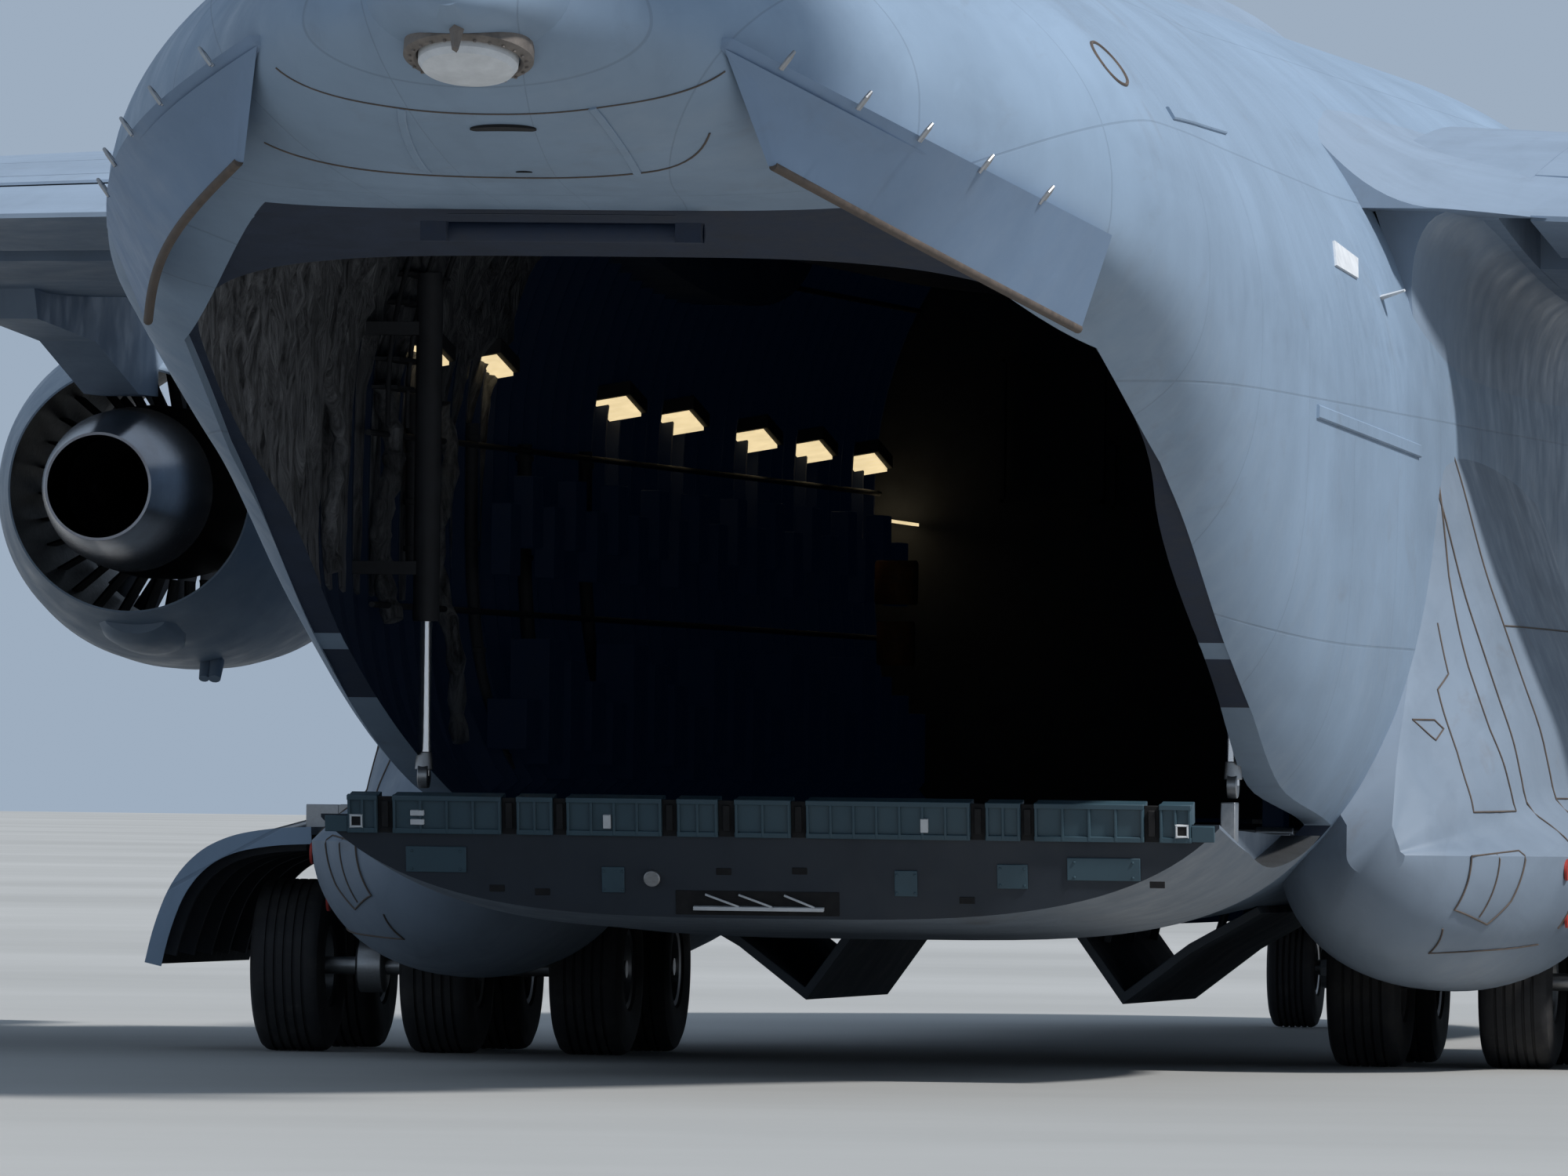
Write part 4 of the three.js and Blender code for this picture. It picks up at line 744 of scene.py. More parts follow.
def ramp_body():
    plug = hull_form(30.42, 36.6, 0.01).loose("ramp_shell")
    room = side_prism(below_sill(-0.02), -4, 4).loose("room")
    carve(room, block_form(-2.68, 2.68, 30.3, 36.65, 0.0, 5.0), "UNION")
    carve_with(plug, room, "INTERSECT")
    carve(plug, block_form(-2.96, 2.96, 30.48, RAMP_END, 0, 9), "INTERSECT")
    rise = 7.0 * math.tan(math.radians(RAMP_CLOSED))
    carve(plug, side_prism([(30.0, 5.0), (30.0, RAMP_TOP), (37.0, RAMP_TOP + rise), (37.0, 5.0)], -4, 4))
    lean = 1.7 * math.tan(math.radians(31.5))
    carve(plug, side_prism([(29.0, 1.64), (30.47, 1.64), (30.47 + lean, -0.06), (29.0, -0.06)], -4, 4))
    for face in plug.data.polygons:
        n = face.normal
        face.material_index = 1 if n.z > 0.6 else 2 if n.y > 0.8 else 0
    swing(plug, *RAMP_HINGE, -RAMP_LOWERED)
    dress(plug, [RAMP_SKIN, FLOOR_METAL, RAMP_BAND], "ramp")
    plug.name = "ramp_body"
    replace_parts(plug, "ramp")


def ramp_lugs():
    form = Form()
    for hand in (1, -1):
        form.block((hand * 2.65, 33.91, 1.58), (hand * 2.75, 34.09, 1.85))
        form.block((hand * 2.44, 30.452, 1.47), (hand * 2.698, 30.65, 1.64))
        form.bar((hand * 2.44, *RAMP_HINGE), (hand * 2.7, *RAMP_HINGE), 0.042, 20)
    form.make("ramp_lugs", STEEL, "ramp", "ramp_paint", bevel=0.004)


def face_way(out):
    """A vector straight out from the ramp's rear face."""
    lean = math.radians(RAMP_LOWERED)
    return Vector((0, math.cos(lean), -math.sin(lean))) * out * HALF


def face_spot(side, drop, out):
    """A place on the ramp's rear face: down from the top of its beam, out from the face."""
    rise = (RAMP_END - 30) * math.tan(math.radians(RAMP_CLOSED))
    top = turn_about(spot(side, RAMP_END, RAMP_TOP + rise), *RAMP_HINGE, -RAMP_LOWERED)
    lean = math.radians(RAMP_LOWERED)
    down = Vector((0, -math.sin(lean), -math.cos(lean))) * (drop - BEAM_LIP) * HALF
    return top + down + face_way(out)


def face_block(form, s0, s1, d0, d1, out):
    corners = [face_spot(s, d, 0.0) for s, d in ((s0, d0), (s1, d0), (s1, d1), (s0, d1))]
    form.plate(corners, face_way(out))


# Pockets along the ramp's rear beam, painted near-black as shade: side from and to
POCKETS = [(2.48, 2.58), (1.66, 1.76), (1.33, 1.42), (0.6, 0.7), (0.22, 0.33), (-0.25, -0.15),
           (-1.43, -1.33), (-1.75, -1.66), (-2.57, -2.47)]


FACE_SIDE = 2.78
# Layers of each rib between two pockets: drop from and to, height off the face
RIB_LAYERS = [(0.0, 0.235, 0.022), (0.0, 0.14, -0.16), (-0.012, 0.022, 0.048), (0.205, 0.24, 0.042)]
# Pale squares at the beam's ends, then other pale marks: side from and to, drop from and to
END_SQUARES = [(-0.042, 0.042, 0.118, 0.13), (-0.042, 0.042, 0.19, 0.202), (-0.042, -0.03, 0.118, 0.202),
               (0.03, 0.042, 0.118, 0.202)]
PALE_MARKS = [(2.27, 2.36, 0.085, 0.12), (2.27, 2.36, 0.145, 0.18), (1.035, 1.085, 0.1, 0.19),
              (-1.055, -1.005, 0.1, 0.19)]
# Bolted plates on the band below the beam: side, half width, drop from and to
BAND_PLATES = [(1.03, 0.075, 0.45, 0.62), (-0.9, 0.075, 0.45, 0.62), (2.2, 0.2, 0.33, 0.5),
               (-2.2, 0.24, 0.35, 0.5), (-1.6, 0.1, 0.4, 0.56)]
BAND_HOLES = [(1.5, 0.6), (1.8, 0.58), (-1.3, 0.62), (-2.55, 0.5), (0.3, 0.45), (-0.2, 0.44)]


def ramp_piece(form, name, material, bevel=0.002):
    form.make(name, material, "ramp", "ramp_paint", bevel=bevel)


def ramp_ribs():
    """The beam's ribbed front between its pockets, with a low piece at each end."""
    ribs = Form()
    edges = [side for pocket in sorted(POCKETS, reverse=True) for side in pocket[::-1]]
    edges = [FACE_SIDE] + edges + [-FACE_SIDE]
    for high, low in zip(edges[::2], edges[1::2]):
        for d0, d1, out in RIB_LAYERS:
            face_block(ribs, low, high, d0, d1, out)
        count = max(2, int((high - low) / 0.15))
        for i in range(count + 1):
            at = low + 0.012 + (high - low - 0.024) * i / count
            face_block(ribs, at - 0.009, at + 0.009, 0.0, 0.235, 0.044)
    for hand in (1, -1):
        s0, s1 = sorted((hand * FACE_SIDE, hand * (FACE_SIDE + 0.15)))
        face_block(ribs, s0, s1, 0.13, 0.235, 0.03)
    ramp_piece(ribs, "ramp_face_ribs", RAMP_FACE)


def ramp_face():
    """The pockets, marks, plates and holes of the ramp's rear face."""
    dark = Form()
    for low, high in POCKETS:
        face_block(dark, low, high, 0.0, 0.24, 0.012)
        face_block(dark, (low + high) / 2 - 0.022, (low + high) / 2 + 0.022, 0.03, 0.2, 0.035)
    pale = Form()
    for side in (2.72, -2.72):
        face_block(dark, side - 0.03, side + 0.03, 0.13, 0.19, 0.045)
        for s0, s1, d0, d1 in END_SQUARES:
            face_block(pale, side + s0, side + s1, d0, d1, 0.05)
    ramp_piece(dark, "ramp_pockets", RECESS_SHADE)
    for s0, s1, d0, d1 in PALE_MARKS:
        face_block(pale, s0, s1, d0, d1, 0.05)
    face_block(pale, -0.36, 0.5, 0.70, 0.725, 0.045)
    for start, end in ((0.42, 0.2), (0.2, -0.02), (-0.1, -0.3)):
        pale.tube([face_spot(start, 0.62, 0.035), face_spot(end, 0.70, 0.035)], 0.008 * HALF, 8)
    ramp_piece(pale, "ramp_face_fittings", PALE)
    plates = Form()
    for side, wide, low, high in BAND_PLATES:
        face_block(plates, side - wide, side + wide, low, high, 0.014)
        for at in (side - 0.8 * wide, side + 0.8 * wide):
            for drop in (low + 0.02, high - 0.03):
                face_block(plates, at - 0.008, at + 0.008, drop, drop + 0.016, 0.022)
    ramp_piece(plates, "ramp_band_plates", RAMP_FACE)
    holes = Form()
    face_block(holes, -0.46, 0.62, 0.60, 0.76, 0.006)
    for side, drop in BAND_HOLES:
        face_block(holes, side - 0.05, side + 0.05, drop, drop + 0.045, 0.006)
    ramp_piece(holes, "ramp_band_holes", RECESS_SHADE)
    lamp = Form().tube([face_spot(0.77, 0.52, 0.0), face_spot(0.77, 0.52, 0.05)], 0.055 * HALF, 32)
    ramp_piece(lamp, "ramp_band_lamp", STEEL, 0.003)


ROD_SIDE = 2.72
ROD_AFT = 34.0
# A rod's tube: radius, up, from its lower end
BARREL = [(0.047, 2.99), (0.088, 2.99), (0.092, 3.04), (0.088, 3.09), (0.088, 5.2), (0.08, 5.32),
          (0.047, 5.32)]


def rod_barrels():
    form = Form()
    for hand in (1, -1):
        side = hand * ROD_SIDE
        rings = [[spot(side + r * c, ROD_AFT + r * s, up) for r, up in BARREL] for c, s in circle(32)]
        form.loft(rings + rings[:1], caps=False)
        for up in (3.3, 4.9):
            form.block((hand * 2.78, ROD_AFT - 0.07, up), (hand * 3.36, ROD_AFT + 0.07, up + 0.09))
    form.make("rod_barrels", SHADED_GREY, bevel=0.002)


def ramp_rods():
    for name, hand in BOTH:
        side, body = hand * ROD_SIDE, f"ramp_rod_{name}"
        shaft = Form().bar((side, ROD_AFT, 1.96), (side, ROD_AFT, 4.15), 0.044, 32)
        shaft = shaft.make(f"rod_shaft_{name}", CHROME, body, "steel")
        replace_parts(shaft, body)
        eye = Form().bar((side - 0.034, ROD_AFT, 1.96), (side + 0.034, ROD_AFT, 1.96), 0.085, 32)
        eye.tube([spot(side, ROD_AFT, 2.0), spot(side, ROD_AFT, 2.12)], [0.062 * HALF, 0.052 * HALF], 24)
        eye.make(f"rod_eye_{name}", STEEL, body, "steel", bevel=0.003)


# The door's plan, and the reach of its front edge from the hinge, which lets it swing past the ramp
DOOR_PLAN = [(2.79, 36.45), (2.79, 40.5), (1.66, 45.34)]
DOOR_SWEEP = 9.02


def cargo_door():
    skin = hull_form(36.2, 45.6, 0.01).loose("door_shell")
    carve(skin, hull_form(36.0, 45.8, 0.23))
    outline = DOOR_PLAN + [(-s, a) for s, a in DOOR_PLAN[::-1]]
    carve(skin, plan_prism(outline, 0, 9), "INTERSECT")
    carve(skin, side_prism(below_sill(-0.04), -4, 4), "INTERSECT")
    carve(skin, Form().bar((-3.5, *DOOR_HINGE), (3.5, *DOOR_HINGE), DOOR_SWEEP, 240), "INTERSECT")
    for hand in (1, -1):
        carve(skin, block_form(hand * 0.7, hand * 0.874, 45.13, 45.48, 5.14, 5.56))
    swing(skin, *DOOR_HINGE, -DOOR_RAISED)
    # The outer face takes the dark door paint, painted shade; the inner face takes the hold's painted shade.
    for face in skin.data.polygons:
        face.material_index = 1 if face.normal.z > 0.2 else 0
    dress(skin, [SHADED_DOOR_PAINT, INSIDE_SHADE], "cargo_door")
    skin.name = "cargo_door_skin"
    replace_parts(skin, "cargo_door")
    # The knuckle takes the hold's painted shade, so it stays dark under the tail's edge.
    knuckle = Form().bar((-0.7, *DOOR_HINGE), (0.7, *DOOR_HINGE), 0.06, 24)
    knuckle.make("cargo_door_knuckle", INSIDE_SHADE, "cargo_door")


def windscreen():
    outer = hull_form(1.65, 8.2, 0.045).loose("glass_outer")
    carve(outer, hull_form(1.55, 8.3, 0.085))
    carve(outer, block_form(-4, 4, 1.9, 6.6, 5.2, 6.24), "INTERSECT")
    dress(outer, GLASS)
    outer.name = "windscreen_glass"
    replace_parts(outer, "windscreen")


def crew_door():
    skin = hull_form(5.8, 8.0, 0.008).loose("crew_skin")
    carve(skin, hull_form(5.7, 8.1, 0.128))
    carve(skin, side_prism(rounded(*CREW_LEAF, 0.1), 2.0, 3.7), "INTERSECT")
    dress(skin, [HULL_PAINT, SHADED_GREY], "crew_door")
    tone_inside(skin, 0.975, 5, 9)
    skin.name = "crew_door_skin"
    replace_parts(skin, "crew_door")
    form = Form()
    low, high = skin_side(6.44, 1.885), skin_side(7.36, 1.885)
    form.bar((low - 0.01, 6.44, 1.89), (high - 0.01, 7.36, 1.89), 0.014, 16)
    for aft in (6.62, 7.18):
        side = skin_side(aft, 2.9) - 0.13
        form.block((side - 0.05, aft - 0.03, 2.0), (side, aft + 0.03, 3.8))
    form.make("crew_door_fittings", STEEL, "crew_door", bevel=0.002)


# The wing: side, leading edge, trailing edge, height of the chord, thickness, nose-up set in degrees
WING = [
    (0.0, 15.6, 27.5, 6.18, 0.128, 1.6),
    (3.7, 17.48, 27.8, 6.10, 0.126, 1.5),
    (9.3, 20.44, 28.3, 5.88, 0.120, 1.2),
    (17.6, 24.76, 29.96, 5.56, 0.112, 0.6),
    (25.15, 28.7, 31.56, 5.27, 0.105, 0.0),
]


def wing_row(side):
    side = min(max(side, 0.0), 25.15)
    k = max(i for i in range(len(WING) - 1) if WING[i][0] <= side)
    t = (side - WING[k][0]) / (WING[k + 1][0] - WING[k][0])
    return [a + (b - a) * t for a, b in zip(WING[k][1:], WING[k + 1][1:])]


def half_depth(x, thickness):
    x = min(max(x, 0.0), 1.0)
    return 5 * thickness * (
        0.2969 * math.sqrt(x) - 0.126 * x - 0.3516 * x * x + 0.2843 * x**3 - 0.1026 * x**4
    )


def wing_spot(side, x, y, hand=1):
    """A place on the wing section at a side: x runs along the chord, y across it."""
    lead, trail, up, _, tip = wing_row(side)
    chord, tip = trail - lead, math.radians(tip)
    return spot(
        hand * side,
        lead + chord * (x * math.cos(tip) + y * math.sin(tip)),
        up + chord * ((0.4 - x) * math.sin(tip) + y * math.cos(tip)),
    )


def wing_surface(side, aft, upper=True):
    """Height of the wing's skin at a side and station."""
    lead, trail, up, thick, tip = wing_row(side)
    chord = trail - lead
    x = min(max((aft - lead) / chord, 0.0), 1.0)
    depth = half_depth(x, thick) * (1 if upper else -1)
    return up + chord * ((0.4 - x) * math.sin(math.radians(tip)) + depth)


HUMP_FOOT = 5.7
# The hump over the wing's root: aft, half width, top
HUMP = [(13.8, 0.5, 7.6), (15.2, 1.45, 7.84), (18.5, 1.75, 7.97), (25.5, 1.75, 7.93), (28.7, 1.3, 7.78)]


def half_disc(half, aft, top):
    """A humped outline across the plane."""
    angles = [math.pi * (1 - k / 40) for k in range(41)]
    rise = top - HUMP_FOOT
    return [spot(half * math.cos(a), aft, HUMP_FOOT + rise * math.sin(a) ** 0.9) for a in angles]


def stub_section(side, hand):
    """The closed wing section at a side, over its top and back underneath."""
    ring = []
    for k in list(range(29)) + list(range(27, 0, -1)):
        x = (1 - math.cos(k / 28 * math.pi)) / 2
        depth = max(half_depth(x, wing_row(side)[3]), 0.0018)
        ring.append(wing_spot(side, x, depth if len(ring) < 29 else -depth, hand))
    return ring


def wing_root():
    """The hump over the hull where the wings meet, the wing's stub and its fillets."""
    afts = stations(13.82, 28.68, 0.35)
    hump = Form().loft([half_disc(monotone(HUMP, 1, aft), aft, monotone(HUMP, 2, aft)) for aft in afts])
    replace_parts(hump.make("wing_hump", WING_PAINT), "wing_centre")
    for name, hand in BOTH:
        stub = Form().loft([stub_section(side, hand) for side in np.linspace(2.6, 3.759, 5)])
        stub.make(f"wing_stub_{name}", WING_PAINT)
        fillet(f"wing_fillet_{name}", hand, True)
        fillet(f"wing_belly_fillet_{name}", hand, False)


def hermite(t, start, end, leave, arrive):
    """A smooth curve's place between two ends with these ways of leaving and arriving."""
    ends = (1 + 2 * t) * (1 - t) ** 2 * start + t * t * (3 - 2 * t) * end
    return ends + t * (1 - t) ** 2 * leave + t * t * (t - 1) * arrive


def fillet_row(aft, hand, upper):
    """The fillet's outline at a station: a curve from the hull to the wing, closed inside the hull."""
    fade = min(max((aft - 16.6) / 2.4, 0.0), 1.0) * min(max((29.7 - aft) / 3.4, 0.0), 1.0)
    fade = math.sin(fade * math.pi / 2) ** 0.8
    grip = 6.5 + 0.32 * fade if upper else 5.35 - 0.75 * fade
    reach = 3.5 + (0.75 if upper else 0.25) * fade
    start = Vector((skin_side(aft, grip) - 0.012, grip))
    nearby = min(aft, wing_row(reach)[1] - 0.02)
    end = Vector((reach, wing_surface(reach, nearby, upper) + (-0.012 if upper else 0.012)))
    tangent = Vector((skin_side(aft, grip - 0.1) - skin_side(aft, grip + 0.1), -0.2)).normalized()
    pull = (end - start).length * 1.1
    leave = tangent * (pull if upper else -pull)
    arrive = Vector((1, -0.02)).normalized() * pull
    curve = [hermite(k / 12, start, end, leave, arrive) for k in range(13)]
    curve.append(Vector((start.x - 0.3, end.y)))
    return [spot(hand * at.x, aft, at.y) for at in curve]


def fillet(name, hand, upper):
    """A concave skin that leads from the hull's side into the wing."""
    afts = stations(16.6, 29.6, 0.3) if upper else stations(17.6, 29.0, 0.3)
    Form().loft([fillet_row(aft, hand, upper) for aft in afts]).make(name, WING_PAINT, smooth=50)


# Closed outlines of the engine's turned parts: radius, aft of the exhaust
COWL = [(1.13, -6.05), (1.17, -6.0), (1.235, -5.85), (1.29, -5.5), (1.322, -4.9), (1.335, -4.2),
        (1.33, -3.6), (1.30, -3.0), (1.235, -2.5), (1.10, -1.9), (0.93, -1.3), (0.915, -1.3), (1.03, -1.9),
        (1.12, -2.5), (1.16, -3.2), (1.16, -4.3), (1.06, -4.7), (1.03, -5.3), (1.06, -5.8), (1.10, -6.0)]
CORE = [(0.30, -4.55), (0.60, -4.2), (0.655, -3.2), (0.66, -2.4), (0.645, -2.0), (0.62, -1.4),
        (0.585, -0.9), (0.50, -0.4), (0.412, -0.02), (0.405, 0.0), (0.385, 0.0), (0.37, -0.08),
        (0.40, -0.5), (0.40, -0.9), (0.22, -1.0), (0.22, -4.5)]
CONE = [(0.001, -1.0), (0.2, -1.0), (0.215, -0.8), (0.17, -0.45), (0.07, -0.12), (0.001, 0.055)]
SPINNER = [(0.001, -5.22), (0.08, -5.16), (0.16, -5.02), (0.22, -4.82), (0.23, -4.63), (0.001, -4.63)]
FAN_AT = -4.72
# A fan blade's section: along and across its chord
BLADE = [(-0.5, 0.0), (-0.2, 0.055), (0.25, 0.045), (0.5, 0.0), (0.25, -0.01), (-0.2, -0.005)]
# The scoop under the cowl: aft of the exhaust, half width in radians, depth
SCOOP = [(-2.6, 0.05, 0.0), (-2.35, 0.22, 0.05), (-2.0, 0.3, 0.1), (-1.72, 0.3, 0.1), (-1.60, 0.24, 0.08)]


def engine_part(profile, place, sides):
    """A turned part of an engine; the place is the side, station and height of its exhaust."""
    side, exhaust, up = place
    return Form().turned([(r, exhaust + a) for r, a in profile], side, up, sides)


def soot_and_shade_inside(obj, place, is_dark):
    """Give the second material to the faces that a rule picks: seen from the axis, radius, aft."""
    side, exhaust, up = place
    for face in obj.data.polygons:
        x, aft, z = face.center.x / HALF, face.center.y / HALF + MIDDLE, face.center.z / HALF
        inside = (face.center - spot(side, aft, up)).dot(face.normal) < 0
        dark = is_dark(inside, math.hypot(x - side, z - up), aft - exhaust)
        face.material_index = 1 if dark else 0


def engines():
    for row, side, exhaust, up in ENGINES:
        for name, hand in BOTH:
            tag, place = f"{row}_{name}", (hand * side, exhaust, up)
            cowl = engine_part(COWL, place, 112)
            cowl = cowl.make(f"cowl_{tag}", [NACELLE_PAINT, SOOT_AND_SHADE], slot="nacelle_paint", smooth=40)
            # The cowl's inside takes painted shade.
            soot_and_shade_inside(cowl, place, lambda inside, radius, aft: inside and radius < 1.2)
            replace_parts(cowl, f"nacelle_{tag}")
            core = engine_part(CORE, place, 112)
            core = core.make(f"core_{tag}", [CORE_METAL, SOOT_AND_SHADE], slot="engine_metal", smooth=40)
            # The core's inside takes soot and painted shade; its front, within the duct, takes painted
            # shade.
            soot_and_shade_inside(core, place, lambda inside, radius, aft: inside or aft < -1.6)
            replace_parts(core, f"engine_core_{tag}")
            engine_part(CONE, place, 48).make(f"exhaust_cone_{tag}", SOOT_AND_SHADE, slot="engine_metal")
            fan_blades(tag, *place)
            guide_vanes(tag, *place)
            cowl_scoop(tag, *place)


def fan_blades(tag, side, exhaust, up):
    form = Form()
    for k in range(24):
        rows = []
        for t in np.linspace(0, 1, 7):
            radius = 0.2 + 0.83 * t
            chord = 0.17 + 0.02 * t
            c, s = math.cos(math.radians(20 + 38 * t)), math.sin(math.radians(20 + 38 * t))
            ring = []
            for x, y in BLADE:
                angle = k / 24 * math.tau + (x * s + y * c) * chord / radius
                aft = exhaust + FAN_AT + (x * c - y * s) * chord
                ring.append(spot(side + radius * math.cos(angle), aft, up + radius * math.sin(angle)))
            rows.append(ring)
        form.loft(rows)
    blades = form.make(f"fan_blades_{tag}", FAN_METAL, f"fan_{tag}", "fan_blades")
    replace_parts(blades, f"fan_{tag}")
    spin = engine_part(SPINNER, (side, exhaust, up), 48)
    spin.make(f"fan_spinner_{tag}", NACELLE_PAINT, f"fan_{tag}", "fan_blades")


def guide_vanes(tag, side, exhaust, up):
    form = Form()
    along = Vector((0, 0.2 * HALF, 0))
    for c, s in circle(36):
        push = Vector((-s, 0, c)) * 0.008 * HALF
        rows = []
        for r in (0.66, 1.15):
            at = spot(side + r * c, exhaust - 3.9, up + r * s)
            rows.append([at - along - push, at + along - push, at + along + push, at - along + push])
        form.loft(rows)
    # The vanes take painted shade, so they stay dark in the duct.
    form.make(f"guide_vanes_{tag}", RECESS_SHADE, slot="engine_metal")


def cowl_scoop(tag, side, exhaust, up):
    """The scoop under the cowl's rear and two short pipes beside it."""
    form = Form()
    rings = []
    for aft, wide, deep in SCOOP:
        base = float(np.interp(aft, [-3.0, -2.5, -1.9, -1.3], [1.30, 1.235, 1.10, 0.93]))
        shares = [j / 16 for j in range(17)]
        arc = [(t, base + deep * math.sin(math.pi * t) ** 0.6 - 0.012) for t in shares]
        arc += [(t, base - 0.05) for t in shares[::-1]]
        ring = []
        for t, radius in arc:
            angle = -math.pi / 2 + (t - 0.5) * 2 * wide
            ring.append(spot(side + radius * math.cos(angle), exhaust + aft, up + radius * math.sin(angle)))
        rings.append(ring)
    form.loft(rings)
    for shift, size in ((-0.75, 0.05), (-0.98, 0.06)):
        foot = spot(side + shift * 0.35, exhaust - 3.2, up - 1.27)
        form.tube([foot, foot + Vector((0, 0.05, -0.07))], [size * HALF, size * 0.8 * HALF], 12)
    form.make(f"cowl_scoop_{tag}", NACELLE_PAINT, slot="nacelle_paint")


# The fairing over the main gear: aft, inner, outer, bottom, top where it leaves the hull
SPONSON = [
    (18.3, 2.90, 3.36, 1.50, 2.30),
    (20.0, 2.30, 4.25, 0.76, 3.30),
    (22.2, 2.25, 4.70, 0.54, 4.20),
    (26.8, 2.25, 4.68, 0.54, 4.45),
    (28.0, 2.35, 4.50, 0.56, 4.40),
    (29.0, 2.42, 4.34, 0.61, 3.30),
    (29.7, 2.60, 4.03, 0.76, 2.50),
    (30.1, 2.75, 3.78, 0.95, 2.15),
    (30.34, 3.05, 3.45, 1.35, 1.70),
]
# How the fairing's upper side spreads from the hull: share of the way down, share of the way out
FLARE = [(0.0, 0.0), (0.07, 0.06), (0.334, 0.24), (0.43, 0.32), (0.58, 0.447), (0.714, 0.56), (0.786, 0.60),
         (0.87, 0.65), (0.94, 0.86), (1.0, 1.0)]
HULL_SIDE = 3.36
# The open main gear door's curve: side, up
GEAR_LEAF = [(4.67, 1.59), (4.88, 1.58), (5.16, 1.54), (5.38, 1.46), (5.55, 1.33), (5.69, 1.13),
             (5.80, 0.83), (5.85, 0.62)]
# Panel seams and red marks on the fairing: aft, up
SPONSON_PANELS = [
    [(28.2, 4.3), (28.54, 3.43), (28.68, 2.8), (28.72, 2.37), (28.7, 1.81), (29.48, 1.8), (29.33, 2.21),
     (29.22, 2.64), (28.99, 2.75), (28.9, 3.1)],
    [(29.99, 1.5), (29.41, 1.54), (29.48, 1.19), (29.59, 1.03), (29.99, 1.13), (29.99, 1.5)],
    [(29.7, 1.52), (29.72, 1.08)],
    [(29.95, 1.0), (29.77, 0.83), (28.53, 0.89)],
    [(29.68, 2.43), (29.41, 2.43), (29.35, 2.37), (29.5, 2.29), (29.68, 2.43)],
]
RED_MARKS = [(28.73, 1.41), (28.28, 1.08)]


def sponson_row(aft):
    inner, outer, bottom, top = (monotone(SPONSON, c, aft) for c in (1, 2, 3, 4))
    return inner, outer, bottom, top, min(1.5, bottom + 0.55 * (top - bottom))


def sponson_side(aft, up):
    """How far out the fairing reaches at a height."""
    inner, outer, bottom, top, widest = sponson_row(aft)
    if up >= widest:
        return HULL_SIDE + (outer - HULL_SIDE) * monotone(FLARE, 1, (top - up) / (top - widest))
    drop = min((widest - up) / (widest - bottom), 1.0)
    return (inner + outer) / 2 + (outer - inner) / 2 * math.sqrt(1 - drop**2)


def sponson_ring(aft, hand):
    """The fairing's outline at a station: down its flared side, round its belly and back to the hull."""
    inner, outer, bottom, top, widest = sponson_row(aft)
    ring = [(sponson_side(aft, up), up) for up in np.linspace(top, widest, 31)]
    for k in range(1, 37):
        c, s = math.cos(k / 36 * math.pi), math.sin(k / 36 * math.pi)
        ring.append(((inner + outer) / 2 + (outer - inner) / 2 * c, widest - (widest - bottom) * s))
    ring.append((inner, top))
    return [spot(hand * side, aft, up) for side, up in ring]


def sponsons():
    afts = stations(18.3, 30.34, 0.2)
    for name, hand in BOTH:
        body = Form().loft([sponson_ring(a, hand) for a in afts]).loose(f"sponson_{name}_skin")
        carve(body, hull_form(15.0, 33.5, 0.03))
        carve(body, block_form(hand * 2.38, hand * 5.21, *BAY, 0.0, BAY_TOP))
        carve(body, block_form(hand * 4.6, hand * 5.6, *BAY, 0.0, 1.5))
        carve(body, block_form(0.0, hand * 2.38, *BAY, 0.0, 1.5))
        darken_bay(body)
        dress(body, [SPONSON_PAINT, RECESS_SHADE])
        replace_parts(body, f"sponson_{name}")
        sponson_seams(name, hand)
        gear_door(name, hand)


def darken_bay(body):
    """The end walls and the roof of the gear bay take the second material, painted shade."""
    for face in body.data.polygons:
        side, aft, up = abs(face.center.x) / HALF, face.center.y / HALF + MIDDLE, face.center.z / HALF
        within = BAY[0] - 0.02 < aft < BAY[1] + 0.02 and up < BAY_TOP + 0.02 and side < 4.62
        wall = abs(face.normal.y) > 0.9 or face.normal.z < -0.9
        face.material_index = 1 if within and wall else 0


def on_sponson(hand, aft, up, lift=0.004):
    return spot(hand * (sponson_side(aft, up) + lift), aft, up)


def sponson_seams(name, hand):
    form = Form()
    for aft, high, low in ((28.35, 4.1, 1.0), (27.42, 4.3, 1.76), (21.2, 3.7, 1.0)):
        form.tube([on_sponson(hand, aft, up) for up in np.linspace(high, low, 40)], 0.007 * HALF, 6)
    for up in (1.9, 3.1):
        form.tube([on_sponson(hand, aft, up) for aft in stations(20.2, 27.4, 0.3)], 0.006 * HALF, 6)
    for panel in SPONSON_PANELS:
        places = []
        for (a0, u0), (a1, u1) in zip(panel, panel[1:]):
            places += [(a0 + (a1 - a0) * t, u0 + (u1 - u0) * t) for t in np.linspace(0, 1, 12)[:-1]]
        places.append(panel[-1])
        form.tube([on_sponson(hand, aft, up) for aft, up in places], 0.0065 * HALF, 6)
    form.make(f"sponson_seams_{name}", SEALANT)
    marks = Form()
    for aft, up in RED_MARKS:
        marks.tube([on_sponson(hand, aft, up, -0.01), on_sponson(hand, aft, up, 0.008)], 0.075 * HALF, 24)
    marks.make(f"sponson_marks_{name}", RED)


LEAF_AFT = 23.28
LEAF_THICK = 0.055


def deeper(outer, inner, times):
    """A curve that lies some times as far inside the outer one as the inner one does."""
    return [(s + (si - s) * times, u + (ui - u) * times) for (s, u), (si, ui) in zip(outer, inner)]


def gear_plate(form, outline, hand, aft, length):
    """A flat outline of (side, up) made long along the plane."""
    return form.plate([spot(hand * s, aft, u) for s, u in outline], Vector((0, length * HALF, 0)))


